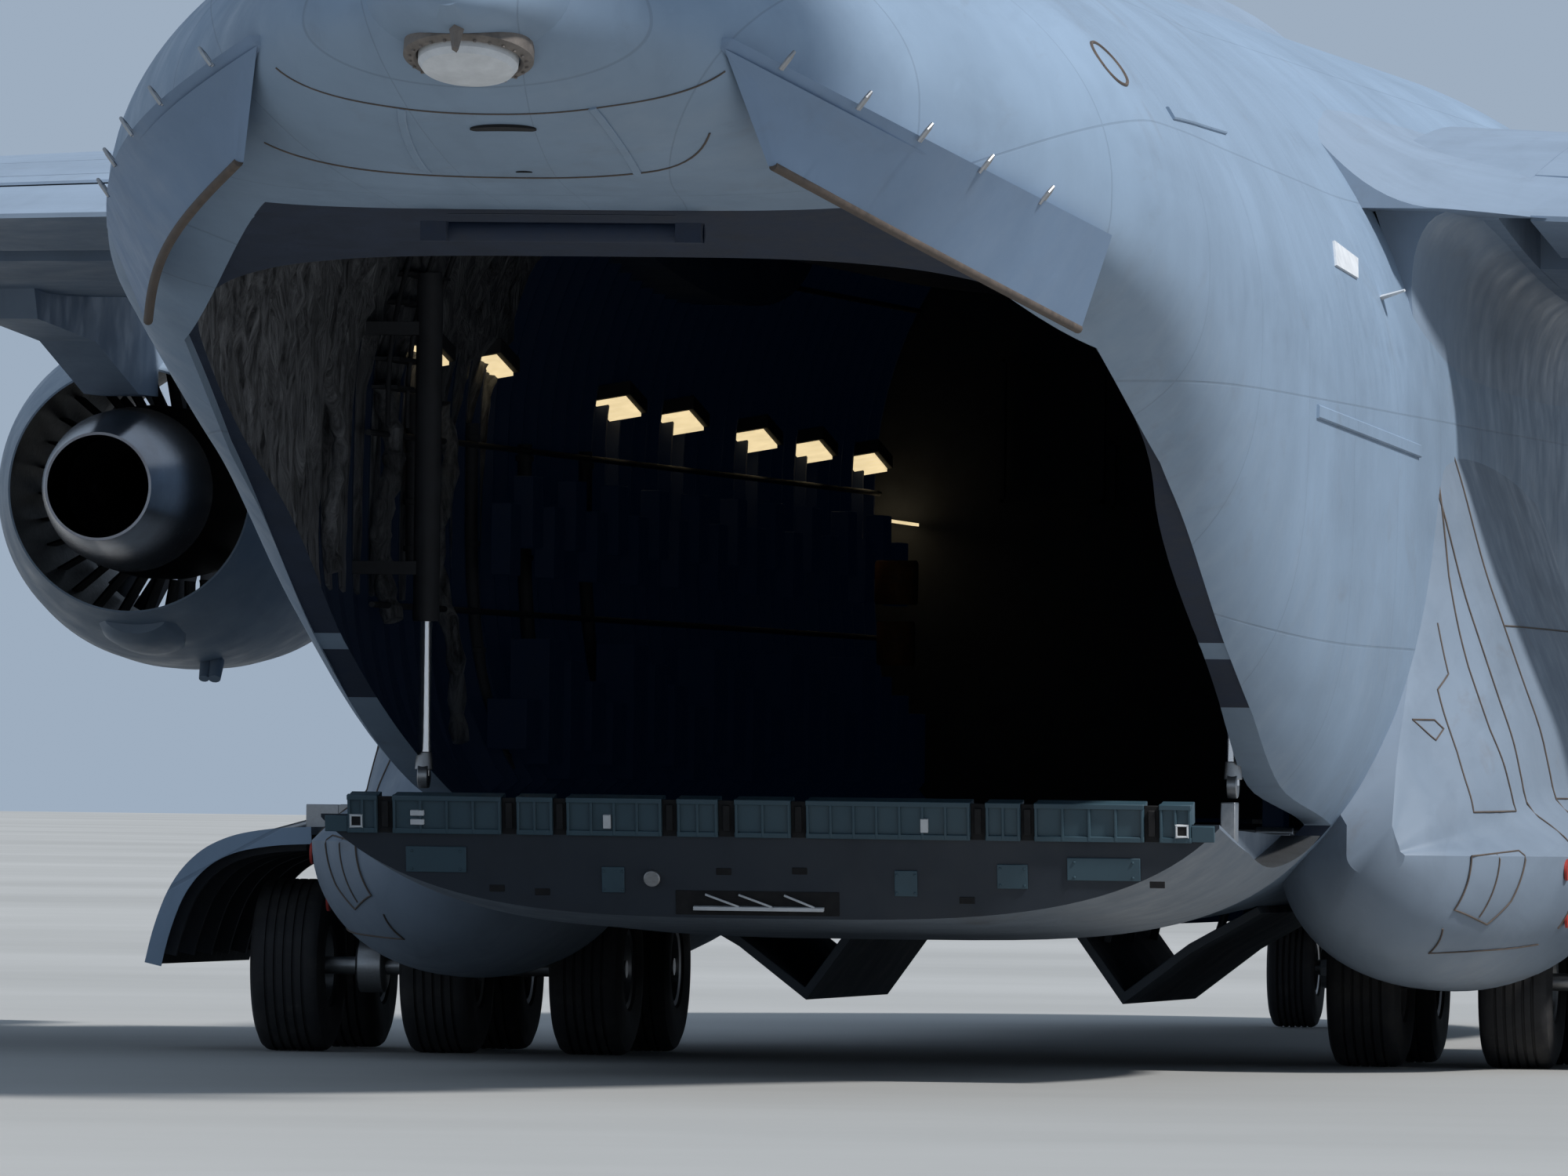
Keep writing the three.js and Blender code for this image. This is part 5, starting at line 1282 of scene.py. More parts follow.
def gear_door(name, hand):
    """The open main gear door: a curved leaf with a light rim and dark ribs inside."""
    table = [(float(i), s, u) for i, (s, u) in enumerate(GEAR_LEAF)]
    outer = [(monotone(table, 1, t), monotone(table, 2, t)) for t in np.linspace(0, len(table) - 1, 36)]
    inner = []
    for i, (s, u) in enumerate(outer):
        (s0, u0), (s1, u1) = outer[max(i - 1, 0)], outer[min(i + 1, len(outer) - 1)]
        run = math.hypot(s1 - s0, u1 - u0)
        inner.append((s + (u1 - u0) / run * LEAF_THICK, u - (s1 - s0) / run * LEAF_THICK))
    leaf = gear_plate(Form(), outer + inner[::-1], hand, LEAF_AFT, 3.9)
    leaf = leaf.make(f"gear_door_{name}_leaf", [SPONSON_PAINT, RECESS_SHADE])
    # The leaf's inner faces take painted shade.
    middle = spot(hand * 4.9, 25, 0.4)
    for face in leaf.data.polygons:
        toward = Vector((middle.x - face.center.x, 0, middle.z - face.center.z))
        face.material_index = 1 if abs(face.normal.y) < 0.5 and face.normal.dot(toward) > 0 else 0
    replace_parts(leaf, f"main_gear_door_{name}")
    ribs = Form()
    rib = inner[2:-2] + deeper(outer, inner, 3.0)[2:-2][::-1]
    for aft in (23.4, 24.1, 24.8, 25.5, 26.2, 26.9):
        gear_plate(ribs, rib, hand, aft, 0.05)
    ribs.make(f"gear_door_{name}_ribs", SHADED_GREY)
    rim = gear_plate(Form(), outer + deeper(outer, inner, 2.2)[::-1], hand, 27.18, 0.012)
    rim.make(f"gear_door_{name}_rim", HULL_PAINT)
    hooks = Form()
    for aft in (23.9, 25.2, 26.6):
        hooks.block((hand * 4.565, aft - 0.06, 1.56), (hand * 4.8, aft + 0.06, BAY_TOP - 0.001))
        hooks.bar((hand * 4.62, aft, 1.66), (hand * 5.3, aft, 1.47), 0.03)
    hooks.make(f"gear_door_{name}_hooks", STEEL, slot="steel", bevel=0.003)


# The inner leaf of the main gear doors, a V in section: side, up
BELLY_LEAF = [(2.09, 1.07), (1.6, 0.79), (1.12, 0.42), (0.77, 0.91), (0.81, 0.95), (1.13, 0.51),
              (1.58, 0.85), (2.06, 1.12)]


def belly_doors():
    """The open leaves inboard of the main wheels and beside the nose wheels."""
    for name, hand in BOTH:
        form = gear_plate(Form(), BELLY_LEAF, hand, 23.22, 4.02)
        for aft in (23.9, 25.2, 26.5):
            form.bar((hand * 1.7, aft, 0.92), (hand * 1.9, aft, 1.6), 0.03)
            form.bar((hand * 0.9, aft, 0.85), (hand * 1.0, aft, 1.3), 0.03)
        # The belly doors take the dark door paint, which is painted shade.
        form.make(f"belly_door_{name}", SHADED_DOOR_PAINT, smooth=25, bevel=0.003)
        s0, s1 = sorted((hand * 0.72, hand * 0.75))
        nose = side_prism([(4.45, 1.3), (6.35, 1.3), (6.2, 0.8), (4.6, 0.8)], s0, s1)
        nose.make(f"nose_door_{name}", HULL_PAINT, bevel=0.003)


# Tyres: radius, width, radius of the rim
MAIN_TYRE = (0.61, 0.52, 0.27)
NOSE_TYRE = (0.49, 0.39, 0.21)
NOSE_AXLE = 5.2
TREAD_GROOVES = (-0.72, -0.36, 0.0, 0.36, 0.72)
# Half of a rim's outline: share of the rim's radius, share of the tyre's half width
RIM = [(0.35, 0.34), (0.5, 0.5), (0.86, 0.55), (0.93, 0.82)]
RIM_BOLTS = 10


def tyre_profile(side, radius, width, rim):
    """A closed outline of (radius, side) for a tyre with grooves round its tread."""
    half = width / 2
    shoulder = half * 0.70
    wall = [(rim, -half * 0.80), (rim + 0.03, -half * 0.93), (radius * 0.72, -half),
            (radius * 0.86, -half * 0.985), (radius * 0.955, -half * 0.89), (radius * 0.985, -half * 0.80)]
    tread = [(radius * 0.997, -shoulder)]
    for groove in TREAD_GROOVES:
        at = groove * shoulder
        low = radius - 0.016
        tread += [(radius, at - 0.012), (low, at - 0.008), (low, at + 0.008), (radius, at + 0.012)]
    tread.append((radius * 0.997, shoulder))
    return [(r, side + s) for r, s in wall + tread + [(r, -s) for r, s in wall[::-1]]]


def rim_profile(side, width, rim):
    """A closed outline of (radius, side) for a wheel's rim and hub."""
    half = width / 2
    port = [(0.06, -half * 0.30)] + [(rim * r, -half * s) for r, s in RIM] + [(rim + 0.012, -half * 0.86)]
    return [(r, side + s) for r, s in port + [(r, -s) for r, s in port[::-1]]]


def wheel_set(name, body, aft, sides, tyre):
    """The tyres, rims, bolts and axle of a row of wheels, which stand on the ground."""
    radius, width, rim = tyre
    tyres = Form()
    rims = Form()
    for side in sides:
        tyres.axled(tyre_profile(side, radius, width, rim), aft, radius, 112)
        rims.axled(rim_profile(side, width, rim), aft, radius, 64)
        for c, s in circle(RIM_BOLTS):
            at = spot(side, aft + rim * 0.43 * c, radius + rim * 0.43 * s)
            for end in (-1, 1):
                out = Vector((end * HALF, 0, 0)) * width / 2
                rims.tube([at + out * 0.38, at + out * 0.50], 0.018 * HALF, 8)
    low, high = min(sides) - width * 0.42, max(sides) + width * 0.42
    rims.axled([(0.001, low), (0.062, low), (0.062, high), (0.001, high)], aft, radius, 32)
    tyres = tyres.make(f"tyres_{name}", RUBBER, body, "tyre", smooth=28)
    rims.make(f"rims_{name}", STEEL, body, "tyre", smooth=35)
    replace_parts(tyres, body)


def wheels():
    for row, aft in MAIN_ROWS:
        for name, hand in BOTH:
            sides = [hand * s for s in MAIN_WHEELS]
            wheel_set(f"{row}_{name}", f"main_wheels_{row}_{name}", aft, sides, MAIN_TYRE)
    wheel_set("nose", "nose_wheels", NOSE_AXLE, [-0.33, 0.33], NOSE_TYRE)


def spots(*places):
    return [spot(*place) for place in places]


def legs():
    for name, hand in BOTH:
        form = Form()
        side = hand * MAIN_LEG
        for aft, slant in ((MAIN_ROWS[0][1], 0.7), (MAIN_ROWS[1][1], -0.7)):
            hub = spots(*((side + s, aft, 0.61) for s in (-0.1, -0.085, 0.085, 0.1)))
            form.tube(hub, [r * HALF for r in (0.16, 0.19, 0.19, 0.16)], 32)
            form.bar((side, aft, 0.72), (side, aft, 1.2), 0.1, 28)
            sleeve = spots(*((side, aft, up) for up in (1.16, 1.2, 1.74)))
            form.tube(sleeve, [r * HALF for r in (0.13, 0.165, 0.165)], 28)
            form.bar((side, aft, 1.05), (side, aft + slant, 1.56), 0.055, 16)
            hose = [(0.12, -0.1, 0.8), (0.16, -0.16, 1.1), (0.13, -0.1, 1.5)]
            form.tube(spots(*((side + hand * s, aft + a, up) for s, a, up in hose)), 0.012 * HALF, 8)
        front, rear = MAIN_ROWS[0][1] - 0.4, MAIN_ROWS[1][1] + 0.4
        form.block((side - 0.19, front, 1.48), (side + 0.19, rear, BAY_TOP - 0.001))
        leg = form.make(f"leg_{name}", STEEL, slot="steel", bevel=0.003)
        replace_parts(leg, f"main_leg_{name}")
        tip = Form().tube(spots((side, 26.95, 1.05), (side, 27.2, 1.0)), [0.1 * HALF, 0.12 * HALF], 24)
        tip.bar((side, 26.5, 1.2), (side, 26.96, 1.05), 0.05)
        tip.make(f"leg_lamp_{name}", RECESS_SHADE, slot="steel")


def wall_point(aft, angle, inset):
    side, up = skin_point(aft, angle, inset)
    return spot(side, aft, up)


def angle_at(aft, up):
    """The angle round the skin, from the port side, that has a height."""
    _, widest, rise, power = skin_part(aft, up)
    turn = math.asin(min(abs(up - widest) / rise, 1.0) ** (power / 2))
    return -turn if up < widest else turn


FRAME_PITCH = 0.62


def hold_frames():
    """Ribs round the inside of the hold, above its floor, which fade out towards the opening's sill."""
    form = Form()
    for aft in stations(9.9, 44.6, FRAME_PITCH):
        start = angle_at(aft, 1.75 if aft < 30.5 else sill_up(aft) + 0.22)
        rings = []
        for i, angle in enumerate(np.linspace(start, math.pi - start, 60)):
            near = min(i, 59 - i) / 10 if aft > 30.5 else 1.0
            deep = 0.125 + (0.12 if aft < 36.3 else 0.05) * min(near, 1.0)
            corners = ((-0.03, 0.115), (0.03, 0.115), (0.03, deep), (-0.03, deep))
            rings.append([wall_point(aft + a, angle, inset) for a, inset in corners])
        form.loft(rings)
    form.make("hold_frames", INSIDE_SHADE, smooth=30)


def hold_blankets():
    """Quilted blankets hung between the ribs on the port wall and the roof, loose and creased."""
    random.seed(11)
    form = Form()
    for aft in stations(28.5, 42.6, FRAME_PITCH):
        low = angle_at(aft, max(sill_up(max(aft, 30.4)) + 0.35, 3.1))
        angles = [low + (1.95 - low) * k / 43 for k in range(44)]
        rings = []
        for i in range(7):
            at = aft + 0.05 + 0.5 * i / 6
            front = []
            for k, angle in enumerate(angles):
                sag = 0.055 * math.sin(i / 6 * math.pi) + 0.035 * math.sin(angle * 23 + aft * 3.1 + i * 1.7)
                sag += random.uniform(-0.012, 0.012) + 0.02 * math.sin(angle * 61 + aft * 7 + i)
                full = min(k / 8, 1.0)
                front.append(wall_point(at, angle, 0.14 + (0.10 + max(sag, -0.05)) * full))
            rings.append(front + [wall_point(at, angle, 0.118) for angle in angles[::-1]])
        form.loft(rings)
    form.make("hold_blankets", FOIL, smooth=60)


# Lamps along the hold's port wall: aft, up
LAMPS = [(31.77, 4.79), (29.06, 4.78), (23.3, 4.62), (20.3, 4.58), (16.6, 4.52), (13.7, 4.49), (10.7, 4.45)]
# Corners of a lamp's panel and of its box, from its middle: side, aft, up
LAMP_PANEL = [(3.02, -0.36, -0.03), (3.02, 0.36, 0.08), (3.25, 0.36, 0.04), (3.25, -0.36, -0.07)]
LAMP_BOX = [(2.98, -0.40, -0.005), (2.98, 0.40, 0.115), (3.29, 0.40, 0.06), (3.29, -0.40, -0.06)]
FRONT_LAMP = [(2.9, 9.35, 4.0), (2.9, 9.75, 4.0), (3.5, 9.75, 4.08), (3.5, 9.35, 4.08)]


def hold_lamps():
    panels = Form()
    boxes = Form()
    for aft, up in LAMPS:
        for form, corners, thick in ((panels, LAMP_PANEL, 0.012), (boxes, LAMP_BOX, 0.05)):
            form.plate([spot(s, aft + a, up + u) for s, a, u in corners], Vector((0, 0, thick)))
    panels.plate(spots(*FRONT_LAMP), Vector((0, 0, 0.012)))
    panels.make("hold_lamp_panels", LAMP)
    boxes.make("hold_lamp_boxes", SHADED_GREY, bevel=0.003)


def rack_side(aft, up):
    return skin_side(aft, up) - 0.27


def hold_racks():
    """Shelves, uprights, pipes and cable runs along the hold's walls."""
    form = Form()
    for step in range(7):
        up = 4.55 + 0.19 * step
        side = rack_side(33.0, up)
        form.block((side - 0.16, 32.9, up), (side + 0.02, 33.6, up + 0.025))
        form.block((side - 0.16, 32.2, up), (side + 0.02, 32.8, up + 0.02))
    for aft in (32.15, 32.85, 33.62):
        path = [spot(rack_side(aft, up) - 0.1, aft, up) for up in np.linspace(4.3, 5.9, 12)]
        form.tube(path, 0.018 * HALF, 8)
    for aft, low, high in ((32.0, 3.4, 4.55), (29.6, 2.0, 4.4), (27.3, 2.0, 4.3), (24.6, 2.0, 4.3)):
        form.tube([spot(rack_side(aft, u), aft, u) for u in np.linspace(low, high, 8)], 0.05 * HALF)
        for up in np.linspace(low + 0.1, high - 0.1, 4):
            side = rack_side(aft, up)
            form.bar((side, aft, up - 0.02), (side, aft, up + 0.02), 0.065)
    for hand in (1, -1):
        for up in (3.1, 4.25, 5.7):
            afts = stations(10.0, 34.0 if up > 3 else 30, 1.2)
            form.tube([spot(hand * (skin_side(a, up) - 0.3), a, up) for a in afts], 0.022 * HALF, 8)
    form.make("hold_racks", SHADED_GREY, bevel=0.0015)


def hold_boxes():
    """A low and a high box in each bay between the ribs, of heights that vary."""
    form = Form()
    for k, aft in enumerate(stations(10.4, 29.4, 0.95)):
        for hand in (1, -1):
            side = hand * (skin_side(aft, 2.3) - 0.3)
            low, top = 1.95 + 0.1 * (k % 3), 3.35 + 0.2 * (k % 2)
            form.block((side, aft, low), (side - hand * 0.28, aft + 0.62, 2.5 + 0.14 * (k % 4)))
            form.block((side, aft + 0.1, top), (side - hand * 0.14, aft + 0.55, top + 0.5))
    form.block((-2.6, 29.9, 1.68), (-2.45, 30.2, 3.2))
    form.make("hold_boxes", INSIDE_SHADE, bevel=0.004)


def hold_fittings():
    """Ducts, canisters, the bulkhead's frames and the rails in the floor."""
    ducts = Form()
    for aft, start, end, r in ((33.2, 3.0, 4.6, 0.07), (35.3, 3.3, 5.0, 0.055), (30.9, 2.2, 4.5, 0.06)):
        path = []
        for u in np.linspace(start, end, 26):
            side = rack_side(aft, u) - 0.02 - 0.05 * math.sin(u * 5)
            path.append(spot(side, aft + 0.05 * math.sin(u * 7), u))
        ducts.tube(path, [r * HALF * (1 + 0.22 * math.sin(i * 2.3)) for i in range(26)], 14)
    ducts.make("hold_ducts", FOIL)
    amber = Form()
    for up, r in ((3.5, 0.17), (3.03, 0.15)):
        path = spots(*((2.41, 14.0, up + u) for u in (-0.17, -0.15, 0.15, 0.17)))
        amber.tube(path, [r * HALF * 0.93, r * HALF, r * HALF, r * HALF * 0.93], 24)
    amber.make("hold_canisters", AMBER)
    faint = Form()
    for s0, s1, u0, u1 in ((0.75, 1.35, 4.15, 4.70), (1.41, 2.24, 4.20, 5.34)):
        for side in (s0, s1 - 0.03):
            faint.block((side, 9.3, u0), (side + 0.03, 9.42, u1))
        for up in (u0, u1 - 0.03):
            faint.block((s0, 9.3, up), (s1, 9.42, up + 0.03))
    faint.make("bulkhead_frames", SHADED_GREY)
    rails = Form()
    for side in (-1.35, -0.9, -0.45, 0.45, 0.9, 1.35):
        rails.block((side - 0.035, 9.5, 1.655), (side + 0.035, 30.3, 1.672))
    rails.make("floor_rails", FLOOR_METAL, slot="floor_metal", bevel=0.001)


def skin_frame(side, aft, up):
    """The nearest place on the skin to a spot, with its outward way."""
    half, widest, rise, power = skin_part(aft, up)
    below = up < widest
    reach = (abs(side / half) ** power + abs((up - widest) / rise) ** power) ** (1 / power)
    side, up = side / reach, widest + (up - widest) / reach
    across = (abs(side / half) ** (power - 1) / half, abs((up - widest) / rise) ** (power - 1) / rise)
    out = Vector((math.copysign(across[0], side), 0, math.copysign(across[1], up - widest))).normalized()
    half_on, widest_on, top_on, bottom_on, _ = skin_at(aft + 0.1)
    rise_on = widest_on - bottom_on if below else top_on - widest_on
    slope = (abs(out.x) * (half_on - half) + abs(out.z) * (rise_on - rise)) / 0.1
    return spot(side, aft, up), Vector((out.x, -slope, out.z)).normalized()


def on_skin(path, lift):
    points = []
    for side, aft, up in path:
        at, out = skin_frame(side, aft, up)
        points.append(at + out * lift * HALF)
    return points


def between(a, b, count):
    return [tuple(a[i] + (b[i] - a[i]) * k / (count - 1) for i in range(3)) for k in range(count)]


# A strip's section: share of its half width, share of its thickness (the foot goes into the skin)
STRIP = [(-1, 0.6), (-0.8, 1.0), (0.8, 1.0), (1, 0.6)]


def ribbon(form, path, wide, thick):
    """A flat strip that follows the skin."""
    rings = []
    frames = [skin_frame(*p) for p in path]
    for i, (at, out) in enumerate(frames):
        way = (frames[min(i + 1, len(frames) - 1)][0] - frames[max(i - 1, 0)][0]).normalized()
        across = way.cross(out).normalized() * wide / 2 * HALF
        low = out * -0.03 * HALF
        upper = [at + across * c + out * thick * HALF * h for c, h in STRIP]
        rings.append([at - across + low, *upper, at + across + low])
    form.loft(rings)


# Places on the tail and the hull's side, read off the photo: side, aft, up
TAIL_STRIPS = [((0.49, 48.25, 5.91), (0.58, 46.99, 5.54)), ((-0.62, 48.23, 5.92), (-0.74, 46.95, 5.54))]
SIDE_STRIPS = [((3.03, 40.85, 6.14), (3.02, 37.36, 6.20)), ((3.41, 35.5, 4.42), (3.43, 29.6, 4.27))]
TAIL_SEAMS = [
    (0.007, [(1.54, 47.08, 5.73), (0.88, 46.93, 5.54), (-0.07, 46.87, 5.50), (-0.85, 47.0, 5.54),
             (-1.61, 47.54, 5.65)]),
    (0.006, [(1.26, 48.15, 6.14), (0.51, 48.25, 5.91), (-0.66, 48.22, 5.92), (-1.39, 48.0, 6.14)]),
]
WHITE_PLATE = [(-3.215, 32.93, 5.61), (-3.217, 31.59, 5.53), (-3.27, 32.07, 5.38), (-3.28, 33.39, 5.43)]
ROUND_HATCH = (2.77, 42.41, 6.36)
AERIAL_AT = (-3.27, 30.67, 5.29)
AERIAL_FOOT = [(-0.12, 0), (0, 0.02), (0.12, 0), (0, -0.02)]
AERIAL_TIP = [(-0.02, 0), (0.04, 0.01), (0.09, 0), (0.04, -0.01)]


def skin_strips():
    strips = Form()
    for start, end in TAIL_STRIPS:
        ribbon(strips, between(start, end, 9), 0.05, 0.012)
    for start, end in SIDE_STRIPS:
        for hand in (-1, 1):
            path = between((hand * start[0], *start[1:]), (hand * end[0], *end[1:]), 18)
            ribbon(strips, path, 0.09, 0.02)
    strips.make("skin_strips", HULL_PAINT)


def tail_seams():
    seams = Form()
    for thick, curve in TAIL_SEAMS:
        seams.tube(smooth_on_skin(curve, 40), thick * HALF, 6)
    seams.make("tail_seams", SEALANT)


def tail_details():
    """Holes, hatches, a plate and an aerial on the tail and the hull's sides."""
    marks = Form()
    for centre, wide, long in (((-0.065, 47.99, 5.79), 0.20, 0.09), ((-0.04, 47.04, 5.54), 0.05, 0.03)):
        disc_on_skin(marks, centre, wide, long)
    marks.make("tail_holes", RECESS_SHADE)
    hatch = Form()
    for hand in (-1, 1):
        ring_on_skin(hatch, (hand * ROUND_HATCH[0], *ROUND_HATCH[1:]), 0.33, 0.17, 0.012)
    hatch.make("round_hatch_seams", SEALANT)
    plate = Form().plate(on_skin(WHITE_PLATE, 0.0), skin_frame(*WHITE_PLATE[0])[1] * 0.008)
    plate.make("white_plate", PALE)
    base, out = skin_frame(*AERIAL_AT)
    foot = [base + Vector((0, a * HALF, u * HALF)) - out * 0.01 for a, u in AERIAL_FOOT]
    tip = [base + Vector((0, a * HALF, u * HALF)) + out * 0.085 for a, u in AERIAL_TIP]
    Form().loft([foot, tip]).make("side_aerial", PALE)


def strake_hooks():
    """Small wire hooks along the strakes' upper edges."""
    hooks = Form()
    for share in (0.86, 0.66, 0.5, 0.34, 0.18):
        for hand in (1, -1):
            top = strake_edge(STRAKE_TOP, share)
            at = spot(hand * (top.x - 0.03), top.y, top.z - 0.02)
            out = Vector((hand * 0.6, 0, 0.8)) * HALF
            bends = ((0, 0), (0.09, 0), (0.13, 0.02), (0.09, 0.035), (0, 0.04))
            hooks.tube([at + out * high + Vector((0, aft, 0)) for high, aft in bends], 0.012 * HALF, 8)
    hooks.make("strake_hooks", STEEL, slot="steel")


def smooth_on_skin(points, count):
    table = [(float(i), *p) for i, p in enumerate(points)]
    path = [tuple(monotone(table, c, t) for c in (1, 2, 3)) for t in np.linspace(0, len(points) - 1, count)]
    return on_skin(path, 0.001)


def skin_axes(centre):
    at, out = skin_frame(*centre)
    across = out.cross(Vector((0, 1, 0))).normalized()
    along = across.cross(out).normalized()
    return at, out, across, along


def disc_on_skin(form, centre, wide, long):
    """A flat oval plug that stands a little proud of the skin."""
    at, out, across, along = skin_axes(centre)
    edge = [at + (across * wide * c + along * long * s) * HALF for c, s in circle(36)]
    form.loft([[p + out * high * HALF for p in edge] for high in (-0.03, 0.004)])


def ring_on_skin(form, centre, along_by, across_by, thick, sides=48):
    """An oval seam on the skin."""
    at, _, across, along = skin_axes(centre)
    path = []
    for c, s in circle(sides) + [(1.0, 0.0)]:
        place = at + (along * along_by * c + across * across_by * s) * HALF
        path.append((place.x / HALF, place.y / HALF + MIDDLE, place.z / HALF))
    form.tube(on_skin(path, 0.0), thick * HALF, 6, caps=False)


# The round housing under the tail's end: its middle, the way it faces, and radius and height off it
DOME_AT = (-0.01, 48.93, 6.20)
DOME_WAY = Vector((0, 0.33, -0.94))
DOME_RING = [(0.385, -0.12), (0.385, 0.03), (0.365, 0.045), (0.325, 0.05), (0.31, 0.035), (0.30, -0.05)]
DOME_LENS = [(0.30, -0.04), (0.295, 0.07), (0.27, 0.105), (0.18, 0.125), (0.05, 0.13)]
DOME_BOLTS = 24
# The blade beside it: half width, half length, height; and the tail's tip: aft, half width, bottom, top
DOME_BLADE = [(0.05, 0.10, -0.12), (0.05, 0.10, 0.0), (0.02, 0.05, 0.16)]
TAIL_TIP = [(48.5, 0.80, 6.04, 6.9), (48.9, 0.62, 6.17, 6.84), (49.2, 0.46, 6.27, 6.78),
            (49.5, 0.30, 6.36, 6.7), (49.68, 0.1, 6.45, 6.6)]


def dome():
    """The round bolted housing, its lens, the blade beside it and the tail's tip that carries them."""
    at, out = spot(*DOME_AT), DOME_WAY.normalized()
    across, along = Vector((1, 0, 0)), Vector((0, 0.94, 0.33)).normalized()

    def around(radius, high, sides=64):
        return [at + (across * c + along * s) * radius * HALF + out * high * HALF for c, s in circle(sides)]

    rim = Form().loft([around(radius, high) for radius, high in DOME_RING])
    for low, high in zip(around(0.347, 0.04, DOME_BOLTS), around(0.347, 0.06, DOME_BOLTS)):
        rim.tube([low, high], 0.010 * HALF, 8)
    rim.make("dome_rim_ring", DOME_RIM)
    Form().loft([around(radius, high) for radius, high in DOME_LENS]).make("dome_lens", PALE)
    tip = Form().loft([
        [spot(half * c, aft, (low + top) / 2 + (top - low) / 2 * s) for c, s in circle(40)]
        for aft, half, low, top in TAIL_TIP
    ])
    tip.make("tail_tip", HULL_PAINT, smooth=60)
    foot = at + along * 0.46 * HALF
    blade = Form().loft([
        [foot + (out * high + across * c * wide + along * s * long) * HALF for c, s in circle(4)]
        for wide, long, high in DOME_BLADE
    ])
    blade.make("dome_blade", DOME_RIM)


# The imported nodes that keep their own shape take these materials, by the start of their name
KEPT = [
    (("wing_", "flap_", "aileron_", "spoiler_", "fin", "rudder_", "tailplane", "elevator_"), WING_PAINT),
    (("cargo_floor",), FLOOR_METAL),
    (("flight_deck",), SHADED_GREY),
    (("nose_leg", "nose_fork"), STEEL),
]


def dress_nodes():
    for node, obj in frame["nodes"].items():
        for starts, material in KEPT:
            if node.startswith(starts):
                obj.data.materials.clear()
                obj.data.materials.append(material)


# Sides of the hinge fairings, the hinge's share of the chord, the side where the two flaps part
CANOES = (4.7, 8.7, 12.7, 16.7)
FLAP_HINGE = 0.74
FLAPS_PART = 9.2


def canoe_covers():
    """Smooth shells over the flap hinge fairings: the front is fixed, the tail goes with its flap."""
    for side in CANOES:
        lead, trail = wing_row(side)[:2]
        hinge = wing_spot(side, FLAP_HINGE, 0)
        split, middle = hinge.y / HALF + MIDDLE, hinge.z / HALF - 0.59 + side * 0.01
        start, end = lead + (trail - lead) * 0.4, split + 1.5
        flap = "flap_inner" if side < FLAPS_PART else "flap_outer"
        for name, hand in BOTH:
            for part, a, b, body in (
                ("front", start, split - 0.012, "airframe"),
                ("tail", split + 0.012, end, f"{flap}_{name}"),
            ):
                rings = [
                    canoe_ring(hand, side, aft, (aft - start) / (end - start), middle)
                    for aft in stations(a, b, 0.12)
                ]
                form = Form().loft(rings)
                form.make(f"canoe_{part}_{int(side)}_{name}", WING_PAINT, body, smooth=45)


def canoe_ring(hand, side, aft, share, middle):
    """A canoe's oval outline, small at both ends; the share runs from its front to its tail."""
    size = max(math.sin(math.pi * (0.06 + 0.88 * share)) ** 0.75, 0.1) * 1.012
    if share < 0.015 or share > 0.985:
        size *= 0.8
    wide, deep = 0.24 * size, (1.19 - side * 0.01) / 2 * size
    return [spot(hand * (side + wide * c), aft, middle - 0.06 * share + deep * s) for c, s in circle(40)]


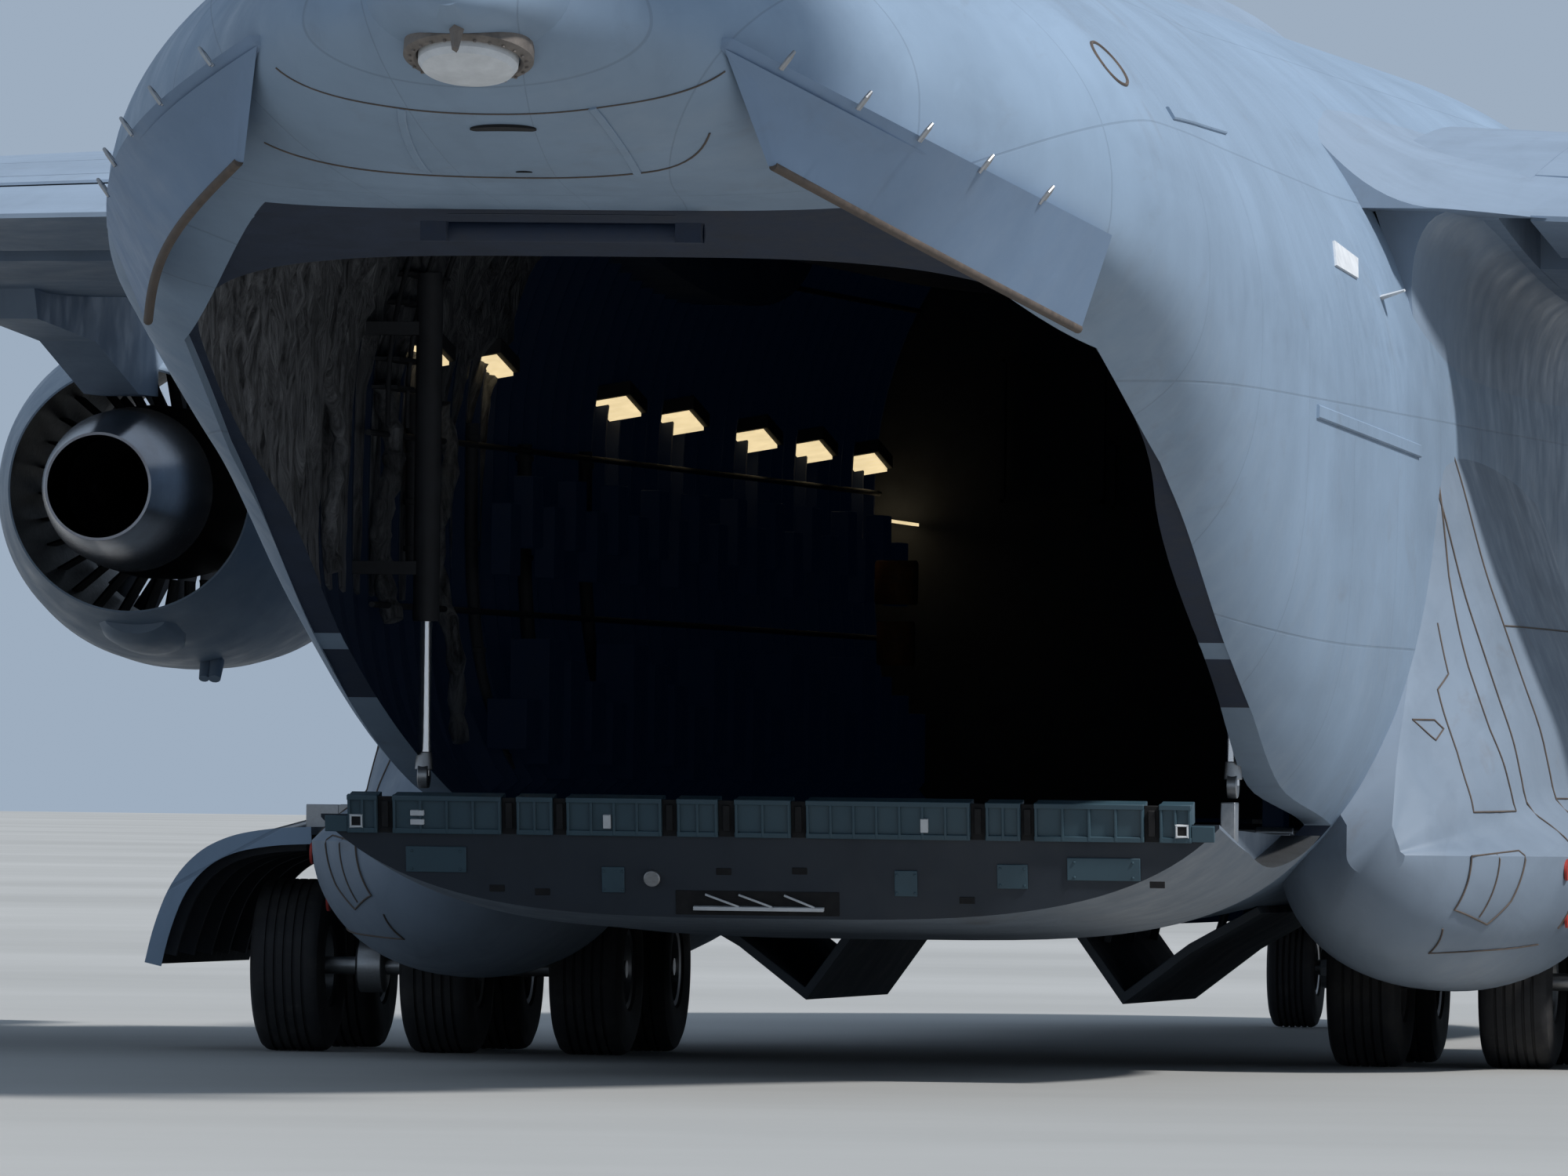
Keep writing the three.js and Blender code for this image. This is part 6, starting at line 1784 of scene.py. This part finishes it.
def floor():
    form = Form()
    radii = (0.5, 4, 12, 30, 80, 200, 420)
    form.loft([[(r * c, r * s, -0.001) for c, s in circle(96)] for r in radii], caps=False)
    form.faces.append(tuple(range(96)))
    obj = form.loose("pale_floor")
    s = Surface("pale_floor", (0.62, 0.62, 0.61), 0.85)
    s.set("Base Color", s.blotch(s.noise(0.08, 6, 0.6), (0.31, 0.31, 0.30), (0.39, 0.39, 0.38), 0.35, 0.7))
    s.bump(s.noise(30, 3, 0.6), 0.1, 0.004)
    obj.data.materials.append(s.material)


def studio():
    """Soft light all round and a sun from behind and to starboard."""
    world = bpy.data.worlds.new("soft_room")
    bpy.context.scene.world = world
    world.use_nodes = True
    back = world.node_tree.nodes["Background"]
    back.inputs["Color"].default_value = (0.55, 0.68, 0.85, 1)
    back.inputs["Strength"].default_value = 0.62
    key = bpy.data.lights.new("key", "SUN")
    key.energy = 3.9
    key.angle = math.radians(6)
    key.color = (1.0, 0.98, 0.96)
    way = Vector((0.58, -0.30, -0.76))
    linked("key", key).rotation_euler = way.to_track_quat("-Z", "Y").to_euler()


LENS = 431.3
SENSOR = 36
CAMERA_AT = (-9.066, 65.574, 0.969)
CAMERA_YAW = math.radians(8.48)
CAMERA_PITCH = 0.0104
CAMERA_ROLL = 0.0125


def camera():
    """A long lens from behind and a little to starboard, low down."""
    data = bpy.data.cameras.new("view")
    data.sensor_width = SENSOR
    data.lens = LENS
    data.clip_start = 0.5
    data.clip_end = 900
    obj = linked("view", data)
    flat = math.cos(CAMERA_PITCH)
    way = Vector((math.sin(CAMERA_YAW) * flat, -math.cos(CAMERA_YAW) * flat, math.sin(CAMERA_PITCH)))
    right = way.cross(Vector((0, 0, 1))).normalized()
    up = right.cross(way).normalized()
    right = (right + up * CAMERA_ROLL).normalized()
    up = right.cross(way).normalized()
    rows = [(right[i], up[i], -way[i], CAMERA_AT[i]) for i in range(3)]
    obj.matrix_world = Matrix((*rows, (0, 0, 0, 1)))
    bpy.context.scene.camera = obj


shaped_hull()
tail_lid()
ventral_strakes()
ramp_body()
ramp_lugs()
ramp_ribs()
ramp_face()
rod_barrels()
ramp_rods()
cargo_door()
windscreen()
crew_door()
wing_root()
engines()
sponsons()
belly_doors()
wheels()
legs()
hold_frames()
hold_blankets()
hold_lamps()
hold_racks()
hold_boxes()
hold_fittings()
skin_strips()
tail_seams()
dome()
tail_details()
strake_hooks()
dress_nodes()
canoe_covers()
floor()
studio()
camera()
bpy.context.scene.view_settings.view_transform = "Standard"
